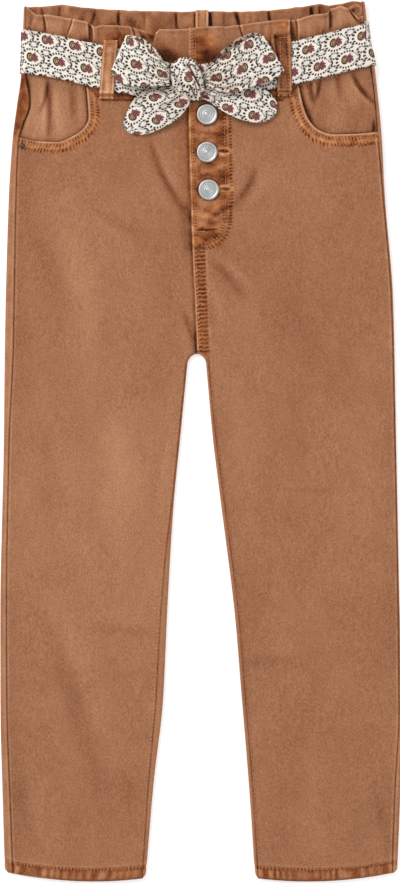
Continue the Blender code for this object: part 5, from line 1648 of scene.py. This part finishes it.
def carrier_cloth(name, outer, inner, tone, rust):
    values = {"tone": (tone, tone * 0), "rust": (rust, rust)}
    return cloth_piece(f"belt_carrier_{name}_cloth", TWILL, outer, inner, values)


def front_carrier(side, shade, flare):
    """flare is how far the upper end spreads towards the bow."""
    top, bottom = CARRIER_ENDS[side]
    centre = (top[0] + bottom[0]) / 2
    half = belt_width_at(centre) + 2.5
    low, high = belt_front_at(centre) - half, belt_front_at(centre) + half

    def middle_x(y):
        return bottom[0] + (top[0] - bottom[0]) * (y - bottom[1]) / (top[1] - bottom[1])

    levels = [bottom[1], low - 2, low, (low + high) / 2, high, high + 2, top[1]]
    heights = []
    for y in levels:
        over_belt = low <= y <= high
        spots = middle_x(y) + np.array([-1, 0, 1]) * CARRIER_WIDTH / 2
        base = height_beside(side, spots, np.full(3, y), BELT_REACH if over_belt else CARRIER_REACH).max()
        heights.append(base + CARRIER_GAP + (BELT_GAP + BELT_CLOTH if over_belt else 0))
    y = np.linspace(bottom[1], top[1], 96)[:, None]
    share = np.linspace(-1, 1, 20)[None]
    x = middle_x(y) + share * (CARRIER_WIDTH / 2 + 0.5) + 0.12 * waver(y, 5, 101)
    x = x + side * flare * (side * share - 1) / 2 * ease(belt_front_at(centre) - 4, high, y)
    y = y + 0 * share
    tone, rust, lift = carrier_values(share + 0 * y, y, 102 if side == RIGHT else 106)
    for tack in (bottom[1] + 1.6, top[1] - 1.8):
        lift = lift - 0.2 * bump(y - tack, 0.9)
        tone = tone - 0.35 * bump(y - tack, 1.3)
        rust = np.maximum(rust, bump(y - tack, 2.4))
    tone = tone + shade + 0.5 * bump(y - bottom[1] - 0.3, 0.7) + 0.45 * bump(y - bottom[1] - 4.2, 0.7)
    tone = tone + 0.22 * noise(share * 3, y, (2.0, 7.0), 108) + 0.25 * bump(share, 0.35) * (side == RIGHT)
    base = np.dstack([x, y, through(levels, heights)(y)])
    return carrier_cloth(SIDES[side], base + upward(CLOTH + lift), base, tone, rust)


def back_carrier():
    """Up the outside under the belt's back, over the top edge and a short way down inside."""
    top, inside = 321.9, FRILL_LIFT + CLOTH
    turns = np.array([  # y and z of its outer face, then of its inner one
        (262, 0, 262, BELT_CLOTH),
        (top, 0, top, BELT_CLOTH),
        (top + 1.3, 0.6, top + GAP, 1.2),
        (top + 1.3, inside + 0.8, top + GAP, inside + 0.2),
        (top - 0.6, inside + 1.3, top - 0.6, inside + GAP),
        (308.5, inside + 1.3, 308.5, inside + GAP),
    ])
    run = path_length(turns[:, :2])
    at = np.unique(np.concatenate([np.linspace(0, run[-1], 90), run]))[:, None]
    share = np.linspace(-1, 1, 18)[None]
    tone, rust, lift = carrier_values(share + 0 * at, at + 0 * share, 111)
    x = share * CARRIER_WIDTH / 2 + 0 * at
    y, z, inner_y, inner_z = (np.interp(at, run, column) + 0 * share for column in turns.T)
    shown = at > run[3]
    outer = np.dstack([x, y, z]) + upward(np.maximum(lift, 0) * shown)
    return carrier_cloth("back", outer, np.dstack([x, inner_y, inner_z]), tone + 0.15 * shown, rust)


carriers = {RIGHT: front_carrier(RIGHT, 0.16, 0.0), LEFT: front_carrier(LEFT, -0.42, 4.5)}
inside_carrier = back_carrier()
for side, length in ((RIGHT, 46), (LEFT, 48)):
    node, rests = f"belt_carrier_{SIDES[side]}", [f"belt_{SIDES[side]}_cloth"]
    declare(carriers[side], node, (11, length))
declare(inside_carrier, "belt_carrier_back", (11, 80))

# %% [markdown]
# ## The bow
# The two loops and two tails are the same ribbon as the belt. A loop leaves the knot on top, turns back
# at its tip and returns underneath. Squeezed by the knot, the ribbon starts in narrow folds that open
# out like a fan, so the folds are strongest at the knot and die away towards the tip.

# %% Stations of the bow's ribbons
RIBBON = "ax ay bx by z crown"
LOOPS = both(RIBBON, right="""
-24.8 279.4 -24.8 265.9 16.2; -31.5 284.6 -31.5 265.1 18.5 0.8; -40.5 292.9 -42 265.1 19.8 1;
-49.5 298.9 -54 265.5 19.4 1; -54.8 301.5 -63.2 269.6 18.2 0.6; -56.4 302.6 -68.4 274.9 16.4 0.2;
-54 302.8 -64 271.9 14.7; -44.5 300.4 -52.5 266.4 14.2; -35 292.8 -39 266 14.2; -26 280.6 -24.9 266.6 14.4
""", left="""
3.1 277.9 3.1 265.1 16.2; 12 284.6 13.5 261 18.5 0.8; 22.5 292.1 25.5 260.6 20 1; 33 298.9 40.5 265.9 19.8 1;
41.2 302 53.2 270.2 18.2 0.6; 45.6 302.4 61.4 276.8 16.4 0.2; 41.2 304.3 56.2 274.1 14.7;
30.8 302.4 40.5 268.1 14.2; 18 294 24 263.6 14.2; 3.8 280.1 4.5 265.1 14.4
""")
TAILS = both(RIBBON, right="""
-19.5 268.1 -7.5 259.1 12.7; -31.5 263.6 -10.5 250.9 12.3; -43 262.9 -18 241.9 11.5 0.3;
-51.8 253.9 -29.2 235.1 9.8 0.8; -57.2 243 -39.8 230.6 8.1 0.8; -60 234.8 -50.6 228.2 7.2 0.2
""", left="""
-6.5 269.6 -1.5 256.9 12.85; 7.5 266.6 5.2 254.2 12.9; 21 265.1 14.2 247.9 13; 36 266.2 27 241.5 12.8 0.3;
49.4 261 40.8 238.6 11.1 0.6; 58.2 251.6 52.6 240.4 8.1 0.4
""")


def ribbon_values(stations, count):
    """The ribbon's two edges, height and crown at evenly spaced places along it."""
    rows = np.array(stations, float)
    middle = np.stack([(rows[:, 0] + rows[:, 2]) / 2, (rows[:, 1] + rows[:, 3]) / 2, rows[:, 4]], axis=1)
    run = path_length(middle, 3.0)
    at = np.linspace(0, run[-1], count)
    return at, [hermite(run, column, np.gradient(column, run), at) for column in rows.T]


def ribbon_cloth(name, stations, motif, seed, folds, light, tip):
    """folds is how many narrow folds leave the knot, and tip the length over which a tail's end is
    rounded. A loop has a tip of 0 and returns to the knot."""
    returns = not tip
    at, (ax, ay, bx, by, z, crown) = ribbon_values(stations, 110)
    left = at[-1] - at
    share = np.linspace(0, 1, 60)[None]
    narrow = np.ones(len(at))
    if tip:
        narrow = np.where(left < tip, (1 - np.clip((tip - left) / tip, 0, 0.999) ** 2.6) ** (1 / 2.6), 1)
    t = 0.5 + (share - 0.5) * narrow[:, None]
    line = [a[:, None] * (1 - t) + b[:, None] * t for a, b in ((ax, bx), (ay, by))]
    high = z[:, None] + crown[:, None] * np.sin(math.pi * t)
    from_knot = np.minimum(at, left) if returns else at
    open_at = (0.3 if returns else 0.42) * at[-1]
    squeeze = np.exp(-((from_knot / open_at) ** 1.6))[:, None]
    run = at[:, None] + 0 * share
    wander = 0.05 * noise(run, share * 20, (12, 9), seed) + 0.03 * seed
    uneven = 0.7 + 0.3 * noise(run, share * 20, (16, 6), seed + 3)
    wave = np.sin(math.pi * folds * (share + wander)) * uneven
    relief = squeeze * (1.3 * np.abs(wave) - 0.8) + 0.2 * noise(run, share * 24, (15, 8), seed + 1)
    middle = np.dstack([*line, high])
    normal = grid_normals(middle)
    top = middle + normal * (BELT_CLOTH / 2 + relief[..., None])
    low = middle - normal * (BELT_CLOTH / 2 - 0.85 * relief[..., None])
    mottle = 0.08 * noise(run, share * 30, (14, 9), seed + 2)
    # light lightens or darkens each ribbon as a whole: painted light and shade for each piece. The fold
    # troughs near the knot, and the cloth close to it, are painted darker as shade.
    tone = light - 0.45 * squeeze * bump(wave, 0.28) + mottle - 0.1 * squeeze
    if tip:
        # Painted shadow of the loop along the tail's upper edge near the knot.
        tone = tone - 0.36 * bump(t, 0.16) * (1 - ease(0.4, 0.75, at / at[-1]))[:, None]
    else:
        # The returning underside of the loop is painted darker as shade.
        tone = tone - 0.25 * ease(0.52, 0.58, at / at[-1])[:, None]
    start, side_shift, direction = motif
    width = np.hypot(ax - bx, ay - by)[:, None]
    across = (0.5 - t) * np.maximum(width, 24) - side_shift
    return printed(name, top, low, tone, direction * (run - start), across, -0.15)


bow = (
    ("bow_loop_right", LOOPS[RIGHT], (26, -0.5, -1), 2, 4.0, 0.2, 0, (96, 33)),
    ("bow_loop_left", LOOPS[LEFT], (28.4, -1.5, -1), 5, 5.0, 0.03, 0, (118, 33)),
    ("bow_tail_right", TAILS[RIGHT], (19.5, 7.0, -1), 3, 3.0, 0.17, 8, (54, 30)),
    ("bow_tail_left", TAILS[LEFT], (26.9, -8.0, 1), 4, 4.0, 0.13, 7, (62, 27)),
)
for node, *ribbon, cut in bow:
    piece = ribbon_cloth(f"{node}_cloth", *ribbon)
    declare(piece, node, cut, 0.85)

# %% [markdown]
# ## The knot
# The knot is the ribbon again, wrapped once round the middle and pulled tight. It is made as a curved
# wall over the crossing. Its folds all slant the same way, and the longest run from the top down
# towards the lower tip, where the cloth is pinched.

# %% The knot
KNOT = table("y left right top", """
286.4 -16 -9 16.2; 283 -21 -4 20.8; 276 -23.4 -0.6 23.8; 268 -22.6 1.4 24.4; 261 -17.6 1.8 22.8;
256.5 -10.5 1.2 19.2; 254.4 -5.8 -0.2 16.2
""")
KNOT_BOTTOM = 13.65
KNOT_FOLDS = table(FRONT_FOLDS, """
-12.5 284 0.6 258.5 0.8 0.8 -1.8 -1.3; -9.5 283 -1.6 262 1 1.1 0.9 0.15; -6.6 270 -3.2 256.5 0.6 0.6 -1 -0.9;
-11 267 -4.6 255 0.4 0.8 -1 -1; -21 282 -14 268 1 2 0.5 0.08; -22.5 277 -15 263 0 1.3 -0.5 -0.35;
-17 284 -8 272 1 1.4 -0.4 -0.22; -3 282 2 270 0.8 0.9 -1 -0.8; -7 285 0.5 276 0.5 0.9 -0.7 -0.55;
-8.5 268 -4 258 0.5 0.7 0.5 0.2
""")


def knot_cloth():
    y = np.linspace(KNOT[0].y, KNOT[-1].y, 110)[:, None]
    left, right, top = (smooth(KNOT, "y", key)(y) for key in ("left", "right", "top"))
    angle = np.linspace(0, math.pi, 110)[None]
    x = (left + right) / 2 + (right - left) / 2 * np.cos(angle)
    y = y + 0 * x
    low_corner = ease(0, 11, -(x + 10) * 0.7 - (y - 267) * 0.72)
    z = KNOT_BOTTOM + (top - KNOT_BOTTOM) * np.maximum(np.sin(angle), 0) ** 0.6 * (1 - 0.8 * low_corner)
    points = np.dstack([x, y, z])
    normal = grid_normals(points)
    normal *= np.sign(np.sum(normal[:, len(x) // 2, 2]))
    skin = Skin(x, y)
    skin.lift += 0.25 * noise(x, y, (6, 5), 122)
    skin.tone += 0.08 * noise(x, y, (5, 4), 123) + 0.07
    skin.folds(KNOT_FOLDS)
    relief = (skin.lift * ease(0, 0.3, np.sin(angle)))[..., None]
    inner = points - normal * (BELT_CLOTH - 0.7 * relief)
    inner[..., 2] = np.maximum(inner[..., 2], KNOT_BOTTOM - 0.2)
    # rim is painted shade where the knot's sides turn down; the fold tones are painted shade and highlights.
    rim = 0.2 * (1 - ease(0, 0.3, np.sin(angle))) * (1 - low_corner)
    tone = skin.tone - rim + 0.15 * (x > -3) * (y < 260)
    along, across = (y - 271.5) + 0.25 * (x + 9.75), -(x + 9.75) + 0.25 * (y - 271.5)
    return printed("bow_knot_cloth", points + normal * relief, inner, tone, along, across)


declare(knot_cloth(), "bow_knot", (38, 33))

# %% [markdown]
# ## Metal
# Tack buttons are pressed from sheet metal: a rolled rim, a dished ring and a small raised centre, with
# plain rings turned into the face. The satin plating has a very fine, even grain and is a little worn.
# A profile turned round its axis gives the whole shape.


# %% Turned metal pieces
def metal_material(name, colour, roughness, metallic, strength):
    finish = plain_material(name, colour, roughness, metallic)
    tree = finish.node_tree
    fine, worn = grain(tree, 900, 4), grain(tree, 240, 2)
    # The stored groove value darkens the turned rings: painted shade in the grooves.
    position = fine * 0.25 + worn * 0.3 + 0.62 - stored(tree, "groove") * 0.6
    rough = fine * 0.2 + roughness
    feed_shader(tree, {"Base Color": shades(position, colour, 0.1, 0.75, 1.25), "Roughness": rough})
    add_bump(fine + worn * 0.5, strength, 0.0001)
    return finish


STEEL = metal_material("satin steel", (0.62, 0.63, 0.63), 0.42, 0.85, 0.35)
DARK_STEEL = metal_material("dark steel", (0.12, 0.11, 0.1), 0.45, 0.9, 0.4)
# groove is how much the colour is darkened at each ring of a profile, a painted shade.
BUTTON_PROFILE = table("radius z groove", """
0 0; 3 0; 3 0.9 0.6; 7 0.95 0.8; 7.45 1.15 0.7; 7.7 1.6 0.3; 7.66 2; 7.45 2.32; 7.1 2.46; 6.6 2.44; 6.1 2.36;
5.8 2.2 0.4; 5.55 2.12 0.5; 5.3 2.14 0.2; 4.9 2.2 0.12; 4.3 2.24 0.12; 4 2.16 0.4; 3.75 2.12 0.35;
3.5 2.2 0.1; 3 2.28 0.1; 2.5 2.3 0.1; 2.2 2.18 0.45; 1.9 2.18 0.3; 1.7 2.3 0.05; 1.2 2.36 0.05; 0.9 2.26 0.4;
0.7 2.28 0.2; 0.5 2.4; 0 2.44
""")
RIVET_PROFILE = table("radius z groove", """
0 0; 1.4 0 0.3; 1.72 0.2 0.2; 1.75 0.5; 1.6 0.72; 1.3 0.74 0.5; 1.1 0.66 0.7; 0.9 0.8 0.1; 0.5 0.98; 0 1.02
""")
RIVET = (-134.6, 221.6)
SEAT = 0.4


def turned_piece(name, profile, side, x, y, finish, turns):
    z = float(form_height(side, np.array([x]), np.array([y]))[0]) + SEAT
    radius, height, groove = np.array(profile).T
    angle = np.linspace(0, 2 * math.pi, turns, endpoint=False)
    rings = range(1, len(profile) - 1)
    points = [(x, y, z + height[0])]
    for n in rings:
        points += [(x + radius[n] * math.cos(a), y + radius[n] * math.sin(a), z + height[n]) for a in angle]
    points.append((x, y, z + height[-1]))
    following = [(k, (k + 1) % turns) for k in range(turns)]
    faces = [(0, 1 + after, 1 + k) for k, after in following]
    for n in rings[:-1]:
        low, high = 1 + (n - 1) * turns, 1 + n * turns
        faces += [(low + k, low + after, high + after, high + k) for k, after in following]
    last = 1 + (len(profile) - 3) * turns
    faces += [(last + k, last + after, len(points) - 1) for k, after in following]
    mesh = bpy.data.meshes.new(name)
    mesh.from_pydata((np.array(points) * MM).tolist(), [], faces)
    store(mesh, "groove", np.concatenate([[0], np.repeat(groove[1:-1], turns), [0]]))
    piece = finished(mesh, finish)
    mesh.set_sharp_from_angle(angle=math.radians(50))
    return piece


for node, place in BUTTONS.items():
    declare(turned_piece(f"{node}_metal", BUTTON_PROFILE, LEFT, *place, STEEL, 56), node)
rivet = turned_piece("pocket_rivet_metal", RIVET_PROFILE, RIGHT, *RIVET, DARK_STEEL, 32)
declare(rivet, "pocket_rivet")
print(tally)

# %% [markdown]
# ## Stitches
# The rows of stitches follow paths and repeat hundreds of times, which is work for Geometry Nodes. One
# tree turns a path into evenly spaced points, sets a small rounded stitch on each along the path's own
# direction, varies their length a little from a fixed seed, and makes them real. Each row of the list
# is a path on the cloth, laid on its finished surface.

# %% The stitch tree
def thread_material(name, colour):
    finish = plain_material(name, colour[:3], 0.8)
    tree = finish.node_tree
    twist, wash = grain(tree, 2600, 1, (1, 0.4, 1), 0.6), grain(tree, 160, 2)
    feed_shader(tree, {"Base Color": shades(twist * 0.9 + wash * 0.9 + 0.5, colour, 0.45, 1.0, 1.5)})
    add_bump(twist, 0.5, 0.0001)
    return finish


def stitch_tree():
    tree = bpy.data.node_groups.new("stitches", "GeometryNodeTree")
    face = tree.interface
    face.new_socket("Geometry", in_out="INPUT", socket_type="NodeSocketGeometry")
    for name, value in (("Pitch", 2.6 * MM), ("Length", 2.0 * MM), ("Thread radius", 0.3 * MM)):
        face.new_socket(name, in_out="INPUT", socket_type="NodeSocketFloat").default_value = value
    face.new_socket("Seed", in_out="INPUT", socket_type="NodeSocketInt").default_value = SEED
    face.new_socket("Thread", in_out="INPUT", socket_type="NodeSocketMaterial")
    face.new_socket("Geometry", in_out="OUTPUT", socket_type="NodeSocketGeometry")

    def made(kind, inputs=None, output=0, **settings):
        return add_node(tree, kind, inputs, **settings).outputs[output]

    given = add_node(tree, "NodeGroupInput").outputs
    curve = made("GeometryNodeMeshToCurve", {"Mesh": given["Geometry"]})
    points = made("GeometryNodeResampleCurve", {"Curve": curve, "Length": given["Pitch"]}, mode="LENGTH")
    tangent = made("GeometryNodeInputTangent")
    turn = made("FunctionNodeAlignRotationToVector", {"Vector": tangent}, axis="X")
    ball = made("GeometryNodeMeshUVSphere", {"Segments": 6, "Rings": 4, "Radius": 1.0})
    half = made("ShaderNodeMath", {0: given["Length"], 1: 0.5}, operation="MULTIPLY")
    limits = {2: 0.78, 3: 1.15, "Seed": given["Seed"]}
    vary = made("FunctionNodeRandomValue", limits, 1, data_type="FLOAT")
    long = made("ShaderNodeMath", {0: half, 1: vary}, operation="MULTIPLY")
    thick = given["Thread radius"]
    size = made("ShaderNodeCombineXYZ", {"X": long, "Y": thick, "Z": thick})
    stitch = {"Points": points, "Instance": ball, "Rotation": turn, "Scale": size}
    real = made("GeometryNodeRealizeInstances", {"Geometry": made("GeometryNodeInstanceOnPoints", stitch)})
    rounded = made("GeometryNodeSetShadeSmooth", {"Geometry": real})
    dyed = made("GeometryNodeSetMaterial", {"Geometry": rounded, "Material": given["Thread"]})
    add_node(tree, "NodeGroupOutput", {"Geometry": dyed})
    return tree


SEED = 7
STITCH_TREE = stitch_tree()
THREADS = {
    "pale": thread_material("pale thread", srgb(206, 142, 92)),
    "rust": thread_material("rust thread", srgb(150, 82, 40)),
}


def sew(name, rows, thread, pitch, length, radius):
    """All rows of one kind, as one plain mesh. A row is a list of places in millimetres."""
    rows = [row for row in rows if len(row) > 2]
    edges, start = [], 0
    for row in rows:
        edges += [(start + n, start + n + 1) for n in range(len(row) - 1)]
        start += len(row)
    mesh = bpy.data.meshes.new(f"{name} paths")
    mesh.from_pydata((np.concatenate(rows) * MM).tolist(), edges, [])
    paths = add_object(f"{name} paths", mesh)
    nodes = paths.modifiers.new("stitches", "NODES")
    nodes.node_group = STITCH_TREE
    values = {"Pitch": pitch * MM, "Length": length * MM, "Thread radius": radius * MM}
    values.update({"Seed": SEED, "Thread": THREADS[thread]})
    for socket in STITCH_TREE.interface.items_tree:
        if socket.in_out == "INPUT" and socket.name in values:
            nodes[socket.identifier] = values[socket.name]
    evaluated = paths.evaluated_get(bpy.context.evaluated_depsgraph_get())
    made = bpy.data.meshes.new_from_object(evaluated)
    made.name = name
    bpy.data.objects.remove(paths, do_unlink=True)
    piece = add_object(name, made)
    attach(piece, "root")
    tally[name] = sum(len(face.vertices) - 2 for face in made.polygons)
    print(name, tally[name], "triangles")


print("stitch tree nodes", len(STITCH_TREE.nodes))


# %% Where the stitches run
def hem_row(side, step=1.0):
    x = np.arange(seam_at[side](-318.0) - side * 1.5, inner_seam_at[side](-318.0) + side * 1.5, -side * step)
    return np.stack([x, hem_bottom(side, x) + 8.3], axis=1)


pale_rows, rust_rows, tack_rows = [], [], []
for side in SIDES:
    for distance, rows, skip in zip(SCOOP_ROWS[side], (pale_rows, rust_rows), (5, 7)):
        rows.append(laid_on(side, beside(SCOOP_EDGE[side], side * distance)[skip:-3]))
    inseam = along_y(inner_seam_at[side], 50, -308, side * 1.7, 1.5)
    (pale_rows if side == RIGHT else rust_rows).append(laid_on(side, inseam))
    pale_rows.append(laid_on(side, hem_row(side)))
for rows, path in (
    (pale_rows, along_y(fly_at, 250, 150, 2.3, 1.5)),
    (pale_rows, beside(FLY_LINE, FLY_ROWS[0])[8:-4]),
    (rust_rows, beside(FLY_LINE, FLY_ROWS[1])[8:-2]),
    (pale_rows, along_y(fly_at, 142, 74, 2.2, 1.5)),
    (rust_rows, along_y(fly_at, 142, 76, 7.4, 1.5)),
):
    rows.append(laid_on(LEFT, path))
print(len(pale_rows), "pale rows and", len(rust_rows), "rust rows on the fronts")


# %% Rows on the waist, the carriers and the buttonholes
for shift in (1.6, 5.4):
    pale_rows.append(laid_on(LEFT, along_y(fly_at, 307, 287, shift, 1.5), skin_of=waist_skin))
lower = np.linspace(-52, 52, 100)
for side, part in ((RIGHT, lower[lower < -12]), (LEFT, lower[lower > -6])):
    row = np.stack([part, straight(FRONT_SEAM, part) + 2.6], axis=1)
    rust_rows.append(laid_on(side, row, skin_of=waist_skin))


def dropped(piece, path, sink=0.05):
    """The places of a path that fall on a piece, sunk a little into its upper face. The height of the
    face is found by looking straight down at it."""
    looks = [(x, y, piece.ray_cast(Vector((x * MM, y * MM, 0.1)), Vector((0, 0, -1)))) for x, y in path]
    return np.array([(x, y, spot.z / MM - sink) for x, y, (hit, spot, _, _) in looks if hit])


for side, (top, low) in CARRIER_ENDS.items():
    for shift in (-2.9, 2.9):
        line = low + (top - low) * np.linspace(0.07, 0.93, 60)[:, None] + [shift, 0]
        pale_rows.append(dropped(carriers[side], line))
    for end, up in ((low, 1.4), (low, 2.2), (top, -1.6)):
        tack_rows.append(dropped(carriers[side], [end + [s, up] for s in np.linspace(-3.6, 3.6, 16)]))
for hx, hy in BUTTONHOLES:
    loop = [(hx + 5.0 * math.cos(a), hy + 1.8 * math.sin(a)) for a in np.linspace(-2.6, 2.6, 30)]
    tack_rows.append(laid_on(LEFT, loop, 0))
for start, end in (((-6.4, 156.8), (1.6, 157.2)), ((2.0, 159.6), (14.0, 160.4))):
    tack_rows.append(laid_on(LEFT, np.linspace(start, end, 12), 0))
for shift in (-2.9, 2.9):
    pale_rows.append(dropped(inside_carrier, [(shift, y) for y in np.linspace(309.5, 321, 14)]))
for shift in (1.8, 6.6):
    path = along_y(centre_back_at, 258, 70, shift)
    rust_rows.append(np.column_stack([path, belt_lift(*path.T) + 0.02]))
sew("pale_stitches", pale_rows, "pale", 2.5, 1.9, 0.26)
sew("rust_stitches", rust_rows, "rust", 2.4, 1.9, 0.27)
sew("tack_stitches", tack_rows, "pale", 0.75, 1.3, 0.28)

# %% Sizes, and the closing line
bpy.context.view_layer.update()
print("triangles", sum(tally.values()), "largest", max(tally.values()))
